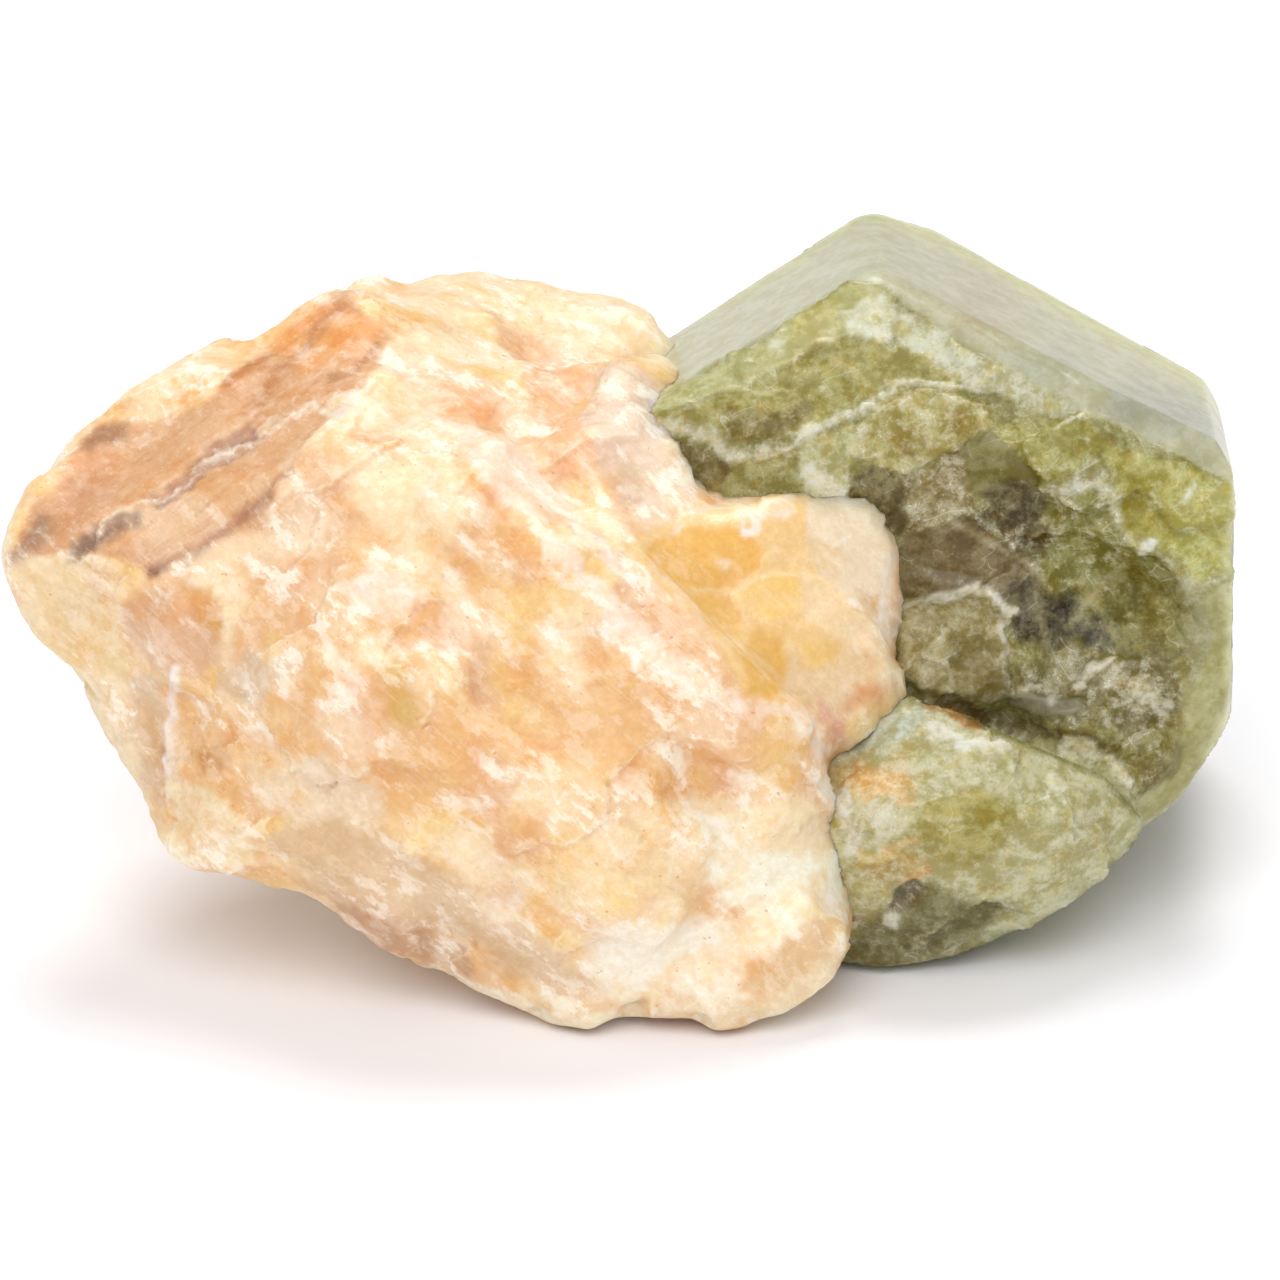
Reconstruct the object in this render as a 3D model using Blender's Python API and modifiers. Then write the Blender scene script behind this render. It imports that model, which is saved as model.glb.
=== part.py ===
"""A rough green garnet crystal, broken open in front, still seated in a lump of orange calcite.

Two solids: calcite_matrix, the lump of cleaved calcite, and garnet_crystals, a rhombic dodecahedron
whose front is broken open, with a smaller, rounder crystal grown onto its lower front.
The specimen stands on the table as it was laid down: +X to the right, -Y towards the viewer, +Z up.
"""

import math
import random

import bmesh
import bpy
from mathutils import Matrix, Vector, noise

# The layout frame. Every place below is (across, up, near) in millimetres, as the specimen is seen from
# the front by an eye that looks down on it: near is the distance towards the eye.
LOOK_DOWN_DEG = 25.0
LAYOUT_HEIGHT = 13.3  # the layout's origin above the table
MM = 0.001
LAYOUT = (
    Matrix.Translation((0, 0, LAYOUT_HEIGHT * MM))
    @ Matrix.Rotation(math.radians(90 - LOOK_DOWN_DEG), 4, "X")
    @ Matrix.Scale(MM, 4)
)

# The garnet: twelve faces of a rhombic dodecahedron about its threefold axis, which points at the viewer
# and leans down. Each face is (azimuth, angle from the axis, distance from the centre).
CRYSTAL_CENTRE = (12.3, 2.5, -10.5)
CRYSTAL_LEAN_DEG = 15.0
PRISM = 90.0
FRONT_CAP = 35.3
BACK_CAP = 180.0 - FRONT_CAP
CRYSTAL_FACES = {
    "right": (0.0, PRISM, 12.1),
    "upper_right": (65.0, PRISM, 11.95),
    "upper_left": (119.6, PRISM, 13.9),
    "left": (180.0, 82.0, 12.9),
    "lower_left": (240.0, PRISM, 12.0),
    "lower_right": (302.5, PRISM, 11.8),
    "front_top": (90.0, FRONT_CAP, 12.0),
    "front_left": (210.0, FRONT_CAP, 12.2),
    "front_right": (330.0, FRONT_CAP, 14.0),
    "back_bottom": (270.0, BACK_CAP, 11.5),
    "back_right": (30.0, BACK_CAP, 11.5),
    "back_left": (150.0, BACK_CAP, 11.5),
}
CRYSTAL_EDGE = 0.9  # rounding of the crystal's edges
EDGE_STEPS = 3
FLAT_DEG = 2.0  # faces this nearly in one plane count as one
MERGE_DISTANCE = 0.02
STARTING_CUBE = 60.0  # the cube that the crystal is sliced out of
WORN_CORNERS = {  # corners rubbed off after the edges were rounded
    "lower_right": (328.0, PRISM, 12.3),
    "upper_right": (30.0, PRISM, 13.8),
    "rear_right": (10.0, 120.0, 13.2),
}

# The broken front: facets of the fracture, each (across, up, near, rise of near across, rise upward).
FRACTURE_FACETS = {
    "band_left": (3.6, 11.0, -0.95, 0.0, -0.37),
    "band_top": (9.5, 12.6, -1.6, 0.0, -0.37),
    "band_right": (15.5, 10.0, -0.75, 0.0, -0.34),
    "band_end": (21.0, 7.6, -0.7, -0.12, -0.25),
    "dark_left": (4.6, 7.1, -0.4, 0.05, 0.3),
    "bright_heel": (9.6, 9.0, -0.2, 0.0, -0.2),
    "dark_upper": (11.2, 6.4, -1.1, 0.1, 0.3),
    "dark_middle": (13.6, 3.4, -2.4, 0.1, 0.1),
    "grey_step": (12.6, -0.3, -1.2, -0.1, -0.25),
    "green_bulge": (20.3, 5.4, -0.5, -0.25, -0.1),
    "green_hollow": (18.6, 1.8, -2.7, 0.1, 0.15),
    "grey_foot": (18.6, -3.1, -2.2, -0.1, -0.3),
    "seat_upper": (5.4, 2.2, -1.9, 0.0, 0.05),
    "seat_lower": (8.6, -1.8, -2.0, 0.0, 0.0),
    "crevice": (14.4, -5.0, -3.4, 0.0, 0.1),
}
FACET_SHARPNESS = 5  # power of the falloff from facet to facet
FACET_CORE = 0.3  # keeps the falloff finite at a facet's own middle
FRACTURE_REACH = (-2.0, 27.0, -14.0, 18.0)  # left, right, bottom and top of the broken sheet
FRACTURE_STEP = 0.7
FRACTURE_JITTER = 0.2
FRACTURE_ROUGHNESS = 0.5
FRACTURE_GRAIN = 0.45  # waves per millimetre
FRACTURE_LID = 20.0  # how near the cutter reaches
FRACTURE_SEED = 3

# The smaller crystal grown onto the lower front.
LOWER_CRYSTAL = [
    (6.0, -6.0, -3.0),
    (7.0, -4.6, -0.5),
    (8.6, -2.9, -1.0),
    (10.9, -2.3, -0.3),
    (14.6, -3.6, 0.9),
    (19.2, -5.5, 0.0),
    (21.0, -7.6, -1.8),
    (20.2, -8.9, -2.0),
    (16.6, -11.4, -0.8),
    (13.5, -13.1, -1.8),
    (10.2, -13.7, -1.6),
    (6.2, -13.2, -2.0),
    (5.6, -9.0, 0.2),
    (9.0, -7.2, 2.8),
    (13.0, -7.6, 3.2),
    (16.8, -7.8, 2.0),
    (9.0, -8.0, -9.0),
    (18.0, -6.0, -9.0),
]
LOWER_CRYSTAL_EDGE = 1.2

# The calcite, as cleaved blocks that run into each other: the corners of each block.
CALCITE_BLOCKS = {
    "body": [
        (-13.4, 15.0, -8.5), (-8, 15.0, -13), (-1, 14.6, -12.5), (1.5, 12.6, -10), (-12.2, 13.9, -3),
        (-11.4, 9.9, 2.2), (-13.4, 7.4, 4.4), (-9.2, 7.8, 4.6), (-5, 6.5, 5.0), (0, 3.5, 5.0),
        (4, -2, 5.6), (7.2, -4.8, 3.4), (-7.6, -1.6, 8.6), (-2, -6, 9), (-12.4, -1.6, 7.6),
        (-19.6, 2.6, 3.6), (-16.2, -7.2, 4.4), (-9.6, -8.4, 6.4), (-3.6, -12.4, 5.6),
        (0, -14.6, 4.6), (7.9, -9, 3.0), (7.6, -11.5, 2.5), (1, -16.1, 3.4), (-3, -15.9, 2.8),
        (5, -15, 2.6), (-12.6, -10.4, 1.6), (-15.8, -9.2, 1.4), (-18.8, -8.3, 0.6), (-6, -9.6, -12),
        (6, -9.6, -12), (-14, 6, -14), (0, 6, -16), (-14, -4, -12),
    ],
    "stained_wedge": [
        (-26.2, 3.6, 0.4), (-25.0, 6.1, -1), (-23.5, 8.7, -4), (-22.3, 9.4, -5), (-17.4, 11.3, -6.4),
        (-13.9, 14.3, -6.6), (-11.9, 13.8, -3.4), (-11.4, 9.9, 2.2), (-13.4, 7.4, 4.6),
        (-19.7, 2.7, 4.2), (-22.5, 3.7, 2.6), (-25.3, 2.6, -0.6), (-24.8, 0.9, -1.5),
        (-23.6, -0.8, -1.5), (-22.3, -3.8, -2), (-20.3, -6.5, -1.5), (-19, -8.5, 0),
        (-16, -9.2, 2), (-20, 4, -10), (-16, -4, -10),
    ],
    "back_ledge": [
        (-13, 15.0, -10.5), (-11.2, 15.7, -11), (-7.4, 15.8, -12.5), (-6.0, 15.2, -12), (-9, 12.4, -6),
        (-2, 12, -7), (-12, 8, -14), (-3, 9, -15),
    ],
    "back_rim": [
        (-4, 14.9, -12.5), (0, 14.6, -11), (1.4, 13.3, -9.5), (3.4, 10, -10), (1.6, 10, -4),
        (-3, 13, -8), (-1, 6, -16), (3, 4, -16),
    ],
    "right_root": [
        (1.4, 12, -4.6), (-3, 12, -4), (1.4, 8.4, 0.4), (-3, 8.6, 2.4), (1.6, 5.2, 2.4), (3.6, 0, 3.6),
        (6.8, -5, 2), (8.2, -9, 1), (8.4, -11.8, -0.5), (2, -9, -12), (4, 2, -6), (-4, 0, 4),
    ],
    "cream_ledge": [
        (-8.2, 8.6, 3.6), (-5.6, 7.9, 4.8), (-4.4, 7.2, 5.6), (-3.3, 4.6, 6.5), (-4.6, 4.3, 6.8),
        (-6.2, 6.2, 5.9), (-6, 5, 3),
    ],
    "shoulder_edge": [
        (-8.6, 8.0, 4.2), (-6.0, 6.9, 6.0), (-4.9, 5.6, 6.8), (-1.6, 4.8, 5.9), (0.2, 3.2, 6.0),
        (4.1, -2.1, 6.6), (7.6, -3.8, 4.6), (2, -6, 7.2), (-4, 0, 8.2), (0, 0, 2), (-6, 2, 4),
    ],
    "left_foot": [
        (-19.2, -5.6, 1.4), (-16.4, -5.8, 4.6), (-16, -9.6, 3.4), (-18.9, -9.0, 1.6),
        (-16, -7, -3), (-19.9, -7.2, 0),
    ],
    "bottom_lip": [
        (0, -11, 5.4), (7.2, -10.4, 4.2), (8.6, -11.9, 3.2), (7.8, -13.8, 2.9), (5.4, -15.4, 3.2),
        (2.5, -16.4, 3.7), (1, -16.7, 4.0), (-0.6, -16.1, 3.6), (-2.2, -16.4, 3.4), (2, -12, -2),
        (8.2, -11.6, -0.6),
    ],
    "under_ledge": [
        (-13.6, -10.2, 0.2), (-9.6, -12.2, -0.6), (-7.0, -12.6, -0.4), (-4.4, -14.6, 0.6),
        (-12, -8, -6), (-4, -9, -8), (-8, -8, 3),
    ],
    "back_slab": [
        (-20, 8, -8), (-17, 9.4, -10.5), (-12, 9, -14.5), (-8, 4, -15.5), (-12, -1, -14),
        (-18, 2, -10), (-14, 4, -6),
    ],
    "back_step": [
        (-4, 8, -15), (2, 9, -15.5), (3, 2, -17), (-3, -1, -16.5), (-8, 2, -14), (0, 0, -10),
    ],
    "yellow_pane_left": [
        (2.1, 5.3, 0.8), (4.1, 5.7, 0.5), (6.8, 5.6, 0.7), (7.2, 3.3, 1.2), (8.6, 1.6, 1.3),
        (5.3, 0, 2.4), (1.8, 1.2, 3.6), (0.2, 3.4, 4.0), (-0.4, 4.4, 3.4), (2, 4, -2.4),
        (8, 2, -2.4), (3, -2, -2.4),
    ],
    "yellow_pane_right": [
        (6.2, 5.5, 0.5), (7.8, 5.8, 0.2), (10.0, 5.4, -0.4), (10.5, 3.9, -0.6), (10.2, 1.6, -0.6),
        (10.1, 0, -0.2), (8.2, 1.2, 0.9), (6.6, 3.3, 0.9), (6, 0, 0.6), (7, 4, -3), (9.6, 1, -3),
    ],
    "yellow_plate": [
        (5.3, 3.3, 1.0), (8.6, 1.6, 1.2), (10.8, -2.0, 0.6), (9.0, -2.8, 0.9), (8.0, -4.1, 1.6),
        (6.9, -3.8, 2.6), (4.1, -2.1, 4.6), (3.4, 0.6, 3.6), (5, -3, -2), (9.4, -2, -2.6),
    ],
}

# Cleavage: flat chips have come off the lump all over, with their edges along one direction.
CLEAVAGE_EDGE = Vector((0.87, -0.45, 0.20))
CHIP_TRIES = 900
CHIP_SPACING = 2.3
CHIP_DEPTHS = (0.25, 0.75)
CHIP_WIDTHS = (2.0, 5.0)
CHIP_LENGTHS = (3.0, 6.5)
CHIP_TILT = 0.14
CHIP_HEIGHT = 2.0
CHIP_SEED = 7
UNCHIPPED = {  # thin forms that keep their skin: middle and reach
    "yellow_panes": ((6.0, 1.0, 1.0), 9.0),
    "garnet_side": ((1.5, 9.5, -2.0), 5.0),
    "lip": ((6.5, -13.0, 2.0), 4.5),
    "left_foot": ((-17.5, -8.0, 2.0), 3.5),
    "left_tip": ((-25.0, 4.0, 0.0), 4.5),
}

SEAT_GAP = 0.4  # clearance between the two minerals
HULL_GRAIN = 0.5  # size of the forms in the calcite's first, plain lump
LUMP_GROWTH = 0.3  # what the chips take away on average
GRAIN = 0.4  # size of its finest forms
LUMPS = ((4.5, 0.4), (1.1, 0.2))  # its unevenness: length of the waves and how far they reach
SEAT_GRAIN = 0.35  # size of the finest forms in the garnet's seat
CALCITE_FACES = 5600
TABLE_SIZE = 100.0

GARNET_FINISH = {"colour": (0.16, 0.2, 0.05), "roughness": 0.25}
CALCITE_FINISH = {"colour": (0.85, 0.5, 0.24), "roughness": 0.45}


def place(spot):
    """A layout place as a world vector in metres."""
    return LAYOUT @ Vector(spot)


def clear_scene():
    for obj in list(bpy.data.objects):
        bpy.data.objects.remove(obj)


def make_collection(name):
    collection = bpy.data.collections.new(name)
    bpy.context.scene.collection.children.link(collection)
    return collection


def object_from(bm, name, collection):
    """A new object with a finished bmesh as its mesh."""
    bmesh.ops.recalc_face_normals(bm, faces=bm.faces)
    mesh = bpy.data.meshes.new(name)
    bm.to_mesh(mesh)
    bm.free()
    obj = bpy.data.objects.new(name, mesh)
    collection.objects.link(obj)
    return obj


def helper_from(bm, name, helpers):
    return as_helper(object_from(bm, name, helpers))


def as_helper(obj):
    obj.hide_render = True
    obj.display_type = "WIRE"
    return obj


def settle(obj):
    """Makes an object's modifiers part of its mesh."""
    bpy.context.view_layer.update()
    graph = bpy.context.evaluated_depsgraph_get()
    mesh = bpy.data.meshes.new_from_object(obj.evaluated_get(graph))
    obj.modifiers.clear()
    obj.data = mesh
    return obj


def boolean(obj, operation, other, solver="EXACT"):
    modifier = obj.modifiers.new(operation.title(), "BOOLEAN")
    modifier.operation = operation
    modifier.solver = solver
    modifier.object = other
    settle(obj)


def remesh(obj, grain):
    modifier = obj.modifiers.new("Remesh", "REMESH")
    modifier.mode = "VOXEL"
    modifier.voxel_size = grain * MM
    settle(obj)


def thin_out(obj, faces):
    obj.data.calc_loop_triangles()
    modifier = obj.modifiers.new("Decimate", "DECIMATE")
    modifier.ratio = min(1.0, faces / len(obj.data.loop_triangles))
    modifier.use_collapse_triangulate = True
    settle(obj)


def roughen(obj, wave, reach):
    """Moves the surface in and out by a cloudy noise."""
    clouds = bpy.data.textures.new("clouds", "CLOUDS")
    clouds.noise_scale = wave * MM
    clouds.noise_depth = 2
    modifier = obj.modifiers.new("Displace", "DISPLACE")
    modifier.texture = clouds
    modifier.texture_coords = "LOCAL"
    modifier.strength = reach * MM
    modifier.mid_level = 0.5
    settle(obj)


def grow(obj, distance):
    modifier = obj.modifiers.new("Grow", "DISPLACE")
    modifier.strength = distance * MM
    modifier.mid_level = 0.0
    settle(obj)


def keep_largest(obj):
    """Drops crumbs that a cut has left loose."""
    bm = bmesh.new()
    bm.from_mesh(obj.data)
    unseen = set(bm.verts)
    lumps = []
    while unseen:
        lump = set()
        front = [unseen.pop()]
        while front:
            vert = front.pop()
            lump.add(vert)
            for edge in vert.link_edges:
                other = edge.other_vert(vert)
                if other in unseen:
                    unseen.discard(other)
                    front.append(other)
        lumps.append(lump)
    lumps.sort(key=len)
    for crumb in lumps[:-1]:
        bmesh.ops.delete(bm, geom=list(crumb), context="VERTS")
    bm.to_mesh(obj.data)
    bm.free()


def add_hull(bm, corners):
    """Adds the convex solid round a few layout places."""
    verts = [bm.verts.new(place(corner)) for corner in corners]
    made = bmesh.ops.convex_hull(bm, input=verts)
    inner = [v for v in made["geom_interior"] if isinstance(v, bmesh.types.BMVert)]
    bmesh.ops.delete(bm, geom=inner, context="VERTS")


def round_edges(bm, width):
    bmesh.ops.dissolve_limit(bm, angle_limit=math.radians(FLAT_DEG), verts=bm.verts, edges=bm.edges)
    bmesh.ops.bevel(
        bm,
        geom=bm.edges[:],
        offset=width * MM,
        offset_type="OFFSET",
        segments=EDGE_STEPS,
        profile=0.5,
        affect="EDGES",
        clamp_overlap=True,
    )
    bmesh.ops.remove_doubles(bm, verts=bm.verts, dist=MERGE_DISTANCE * MM)


def slice_off(bm, azimuth_deg, off_axis_deg, distance):
    """Cuts one face of the large crystal and closes the cut."""
    azimuth = math.radians(azimuth_deg)
    off_axis = math.radians(off_axis_deg)
    across = math.sin(off_axis) * math.cos(azimuth)
    upward = math.sin(off_axis) * math.sin(azimuth)
    lean = Matrix.Rotation(math.radians(CRYSTAL_LEAN_DEG), 3, "X")
    normal = lean @ Vector((across, upward, math.cos(off_axis)))
    middle = Vector(CRYSTAL_CENTRE)
    on_face = place(middle + normal * distance)
    outward = (on_face - place(middle)).normalized()
    everything = bm.verts[:] + bm.edges[:] + bm.faces[:]
    cut = bmesh.ops.bisect_plane(
        bm, geom=everything, plane_co=on_face, plane_no=outward, clear_outer=True
    )
    rim = [g for g in cut["geom_cut"] if isinstance(g, bmesh.types.BMEdge)]
    if rim:
        bmesh.ops.contextual_create(bm, geom=rim)


def crystal_body():
    """The dodecahedron, sliced out of a cube face by face."""
    bm = bmesh.new()
    middle = Matrix.Translation(place(CRYSTAL_CENTRE))
    bmesh.ops.create_cube(bm, size=STARTING_CUBE * MM, matrix=middle)
    for azimuth, off_axis, distance in CRYSTAL_FACES.values():
        slice_off(bm, azimuth, off_axis, distance)
    round_edges(bm, CRYSTAL_EDGE)
    for azimuth, off_axis, distance in WORN_CORNERS.values():
        slice_off(bm, azimuth, off_axis, distance)
    return bm


def fracture_depth(across, up):
    """How near the broken surface is: the facets' planes, each strongest round its own middle."""
    total = 0.0
    weights = 0.0
    for x, y, near, rise_across, rise_up in FRACTURE_FACETS.values():
        away = math.hypot(across - x, up - y) + FACET_CORE
        weight = away ** -FACET_SHARPNESS
        total += weight * (near + rise_across * (across - x) + rise_up * (up - y))
        weights += weight
    spot = Vector((across, up, 0)) * FRACTURE_GRAIN
    return total / weights + FRACTURE_ROUGHNESS * noise.noise(spot)


def fracture_cutter():
    """What the blow took away: all that is nearer than the broken surface."""
    left, right, bottom, top = FRACTURE_REACH
    columns = round((right - left) / FRACTURE_STEP)
    rows = round((top - bottom) / FRACTURE_STEP)
    middle = Matrix.Translation(((left + right) / 2, (bottom + top) / 2, 0))
    stretch = Matrix.Diagonal(((right - left) / 2, (top - bottom) / 2, 1, 1))
    bm = bmesh.new()
    bmesh.ops.create_grid(bm, x_segments=columns, y_segments=rows, size=1, matrix=middle @ stretch)
    rng = random.Random(FRACTURE_SEED)
    for vert in bm.verts:
        if not vert.is_boundary:
            vert.co.x += rng.uniform(-FRACTURE_JITTER, FRACTURE_JITTER)
            vert.co.y += rng.uniform(-FRACTURE_JITTER, FRACTURE_JITTER)
    lid = bmesh.ops.extrude_face_region(bm, geom=bm.faces[:])
    lid_verts = {g for g in lid["geom"] if isinstance(g, bmesh.types.BMVert)}
    for vert in bm.verts:
        near = FRACTURE_LID if vert in lid_verts else fracture_depth(vert.co.x, vert.co.y)
        vert.co = place((vert.co.x, vert.co.y, near))
    bmesh.ops.triangulate(bm, faces=bm.faces)
    return bm


def build_garnet(parts, helpers):
    garnet = object_from(crystal_body(), "garnet_crystals", parts)
    boolean(garnet, "DIFFERENCE", helper_from(fracture_cutter(), "fracture", helpers))
    keep_largest(garnet)
    lower = bmesh.new()
    add_hull(lower, LOWER_CRYSTAL)
    round_edges(lower, LOWER_CRYSTAL_EDGE)
    boolean(garnet, "UNION", helper_from(lower, "lower_crystal", helpers))
    return garnet


def rough_lump(helpers):
    """The calcite's blocks run together, with no detail."""
    bm = bmesh.new()
    for corners in CALCITE_BLOCKS.values():
        add_hull(bm, corners)
    lump = helper_from(bm, "calcite_lump", helpers)
    remesh(lump, HULL_GRAIN)
    grow(lump, LUMP_GROWTH)
    return lump


def chips(lump):
    """Flat slabs laid on the lump's skin and sunk a little into it, to be cut away."""
    rng = random.Random(CHIP_SEED)
    to_world = LAYOUT.to_3x3().normalized()
    grain = to_world @ CLEAVAGE_EDGE.normalized()
    kept = [(place(middle), reach * MM) for middle, reach in UNCHIPPED.values()]
    spots = []
    bm = bmesh.new()
    faces = lump.data.polygons
    for _ in range(CHIP_TRIES):
        face = faces[rng.randrange(len(faces))]
        crowded = any((face.center - spot).length < CHIP_SPACING * MM for spot in spots)
        if crowded or any((face.center - middle).length < reach for middle, reach in kept):
            continue
        spots.append(face.center.copy())
        tilt = Vector([rng.uniform(-CHIP_TILT, CHIP_TILT) for _ in range(3)])
        out = (face.normal + tilt).normalized()
        along = (grain - out * grain.dot(out)).normalized()
        axes = Matrix((along, out.cross(along), out)).transposed()
        size = (rng.uniform(*CHIP_LENGTHS), rng.uniform(*CHIP_WIDTHS), CHIP_HEIGHT)
        form = axes @ Matrix.Diagonal([length * MM for length in size])
        middle = face.center + out * (CHIP_HEIGHT / 2 - rng.uniform(*CHIP_DEPTHS)) * MM
        bmesh.ops.create_cube(bm, size=1.0, matrix=Matrix.Translation(middle) @ form.to_4x4())
    return bm


def copy_of(obj, name, collection):
    bm = bmesh.new()
    bm.from_mesh(obj.data)
    return object_from(bm, name, collection)


def seat_cutter(garnet, helpers):
    """The garnet grown by the gap, so that the calcite fits round it."""
    seat = as_helper(copy_of(garnet, "seat", helpers))
    remesh(seat, SEAT_GRAIN)
    grow(seat, SEAT_GAP)
    remesh(seat, SEAT_GRAIN)
    return seat


def build_calcite(garnet, parts, helpers):
    lump = rough_lump(helpers)
    chipped = helper_from(chips(lump), "chips", helpers)
    remesh(chipped, GRAIN)
    calcite = copy_of(lump, "calcite_matrix", parts)
    boolean(calcite, "DIFFERENCE", chipped, "MANIFOLD")
    remesh(calcite, GRAIN)
    for wave, reach in LUMPS:
        roughen(calcite, wave, reach)
    boolean(calcite, "DIFFERENCE", seat_cutter(garnet, helpers), "MANIFOLD")
    remesh(calcite, SEAT_GRAIN)
    keep_largest(calcite)
    thin_out(calcite, CALCITE_FACES)
    return calcite


def table_cutter(helpers):
    """All that would lie below the table."""
    bm = bmesh.new()
    below = Matrix.Translation((0, 0, -TABLE_SIZE / 2 * MM))
    bmesh.ops.create_cube(bm, size=TABLE_SIZE * MM, matrix=below)
    return helper_from(bm, "table", helpers)


def material(name, colour, roughness):
    made = bpy.data.materials.new(name)
    made.use_nodes = True
    shader = made.node_tree.nodes["Principled BSDF"]
    shader.inputs["Base Color"].default_value = (*colour, 1.0)
    shader.inputs["Roughness"].default_value = roughness
    shader.inputs["Metallic"].default_value = 0.0
    return made


def stand_on_origin(objects):
    """Hangs the solids on one empty, moved so that the origin is the middle of their footprint."""
    corners = [vert.co for obj in objects for vert in obj.data.vertices]
    across = [co.x for co in corners]
    deep = [co.y for co in corners]
    stand = bpy.data.objects.new("specimen_origin", None)
    bpy.context.scene.collection.objects.link(stand)
    stand.location = (-(min(across) + max(across)) / 2, -(min(deep) + max(deep)) / 2, 0)
    for obj in objects:
        obj.parent = stand


def main():
    clear_scene()
    parts = make_collection("garnet_on_calcite")
    helpers = make_collection("cutters")
    garnet = build_garnet(parts, helpers)
    calcite = build_calcite(garnet, parts, helpers)
    table = table_cutter(helpers)
    boolean(garnet, "DIFFERENCE", table)
    boolean(calcite, "DIFFERENCE", table)
    garnet.data.materials.append(material("garnet", **GARNET_FINISH))
    calcite.data.materials.append(material("calcite", **CALCITE_FINISH))
    stand_on_origin([garnet, calcite])


main()
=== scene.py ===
import math

import bmesh
import bpy
import numpy as np
from mathutils import Matrix, Vector, kdtree, noise
from mathutils.bvhtree import BVHTree


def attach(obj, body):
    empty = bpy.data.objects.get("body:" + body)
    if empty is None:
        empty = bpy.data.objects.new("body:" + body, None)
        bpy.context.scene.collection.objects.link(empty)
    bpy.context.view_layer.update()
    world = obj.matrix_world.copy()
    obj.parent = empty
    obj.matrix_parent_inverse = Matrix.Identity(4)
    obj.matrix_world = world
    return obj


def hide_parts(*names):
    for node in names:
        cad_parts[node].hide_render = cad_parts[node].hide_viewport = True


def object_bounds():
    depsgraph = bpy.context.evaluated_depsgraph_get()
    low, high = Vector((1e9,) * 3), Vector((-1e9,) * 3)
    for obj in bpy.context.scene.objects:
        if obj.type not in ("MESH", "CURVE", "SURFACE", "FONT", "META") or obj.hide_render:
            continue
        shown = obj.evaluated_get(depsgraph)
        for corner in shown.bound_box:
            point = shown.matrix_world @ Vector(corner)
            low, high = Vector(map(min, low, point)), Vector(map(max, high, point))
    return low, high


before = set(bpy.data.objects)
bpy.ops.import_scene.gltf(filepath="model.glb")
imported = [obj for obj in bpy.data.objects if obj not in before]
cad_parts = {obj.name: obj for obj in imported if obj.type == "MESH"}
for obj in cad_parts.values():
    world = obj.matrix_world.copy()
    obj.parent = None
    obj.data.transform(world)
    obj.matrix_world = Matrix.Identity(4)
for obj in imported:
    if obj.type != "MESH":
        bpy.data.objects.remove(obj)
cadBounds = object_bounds()
print("frame loaded:", ", ".join(sorted(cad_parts)))

# How the specimen is seen. Everything painted on it is placed as seen from here.
view = {
    "lookDown": 25.0,  # degrees
    "middle": (0.857, -6.659, 13.3),  # the place the camera looks at, in millimetres
    "side": 1280,  # pixels
    "pixelsPerMm": 24.4,
    "lens": 300.0,
    "sensor": 36.0,
    "nearest": 0.01,  # metres
}
mm = 0.001
viewWidth = view["side"] / view["pixelsPerMm"]
viewDistance = viewWidth * view["lens"] / view["sensor"]
viewTurn = math.radians(90 - view["lookDown"])
upWay = np.array((0, math.cos(viewTurn), math.sin(viewTurn)))
nearWay = np.array((0, -math.sin(viewTurn), math.cos(viewTurn)))
viewAxes = np.array(((1, 0, 0), upWay, nearWay))


# Places as seen: across, up and near, in millimetres.
def toView(world):
    return (world / mm - np.array(view["middle"])) @ viewAxes.T


def toWorld(seen):
    return (seen @ viewAxes + np.array(view["middle"])) * mm


def toPixels(seen):
    growth = view["pixelsPerMm"] * viewDistance / (viewDistance - seen[:, 2])
    half = view["side"] / 2
    return np.stack((half + seen[:, 0] * growth, half - seen[:, 1] * growth), axis=1)


def linear(colour):
    # a screen colour, 0 to 255, as the light it stands for
    part = np.array(colour) / 255
    return np.where(part <= 0.04045, part / 12.92, ((part + 0.055) / 1.055) ** 2.4)


def ease(value, low, high):
    part = np.clip((value - low) / (high - low), 0, 1)
    return part * part * (3 - 2 * part)


seedStride = np.array((17.3, 5.1, 9.7))  # how far apart two seeds take their noise


def cloud(seen, size, octaves, seed):
    # smooth noise from about -1 to 1, its clumps of a size in millimetres
    spots = seen / size + seedStride * seed
    return np.array([noise.fractal(spot, 1.0, 2.0, octaves) for spot in spots.tolist()])


# Fine meshes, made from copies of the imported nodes.
skin = {
    "mergeGap": 0.001,  # millimetres
    "smoothing": 0.5,
    "facetSides": 3,  # the nearest planes that cut each facet
    "leastFacing": 0.5,
    "rests": (0.2, 1.2),  # millimetres above the table: kept as it is, and broken in full
    "crestRounds": 6,
}


def fineCopy(node, name, look):
    bm = bmesh.new()
    bm.from_mesh(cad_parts[node].data)
    bmesh.ops.remove_doubles(bm, verts=bm.verts, dist=skin["mergeGap"] * mm)
    mesh = bpy.data.meshes.new(name)
    bm.to_mesh(mesh)
    bm.free()
    obj = bpy.data.objects.new(name, mesh)
    bpy.context.scene.collection.objects.link(obj)
    fine = obj.modifiers.new("fine", "REMESH")
    fine.mode = "VOXEL"
    fine.voxel_size = look["grain"] * mm
    soft = obj.modifiers.new("soft", "SMOOTH")
    soft.iterations = look["softening"]
    soft.factor = skin["smoothing"]
    bpy.context.view_layer.update()
    graph = bpy.context.evaluated_depsgraph_get()
    finished = bpy.data.meshes.new_from_object(obj.evaluated_get(graph))
    obj.modifiers.clear()
    obj.data = finished
    print(name, "has", len(finished.polygons) * 2, "triangles")
    return obj


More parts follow.
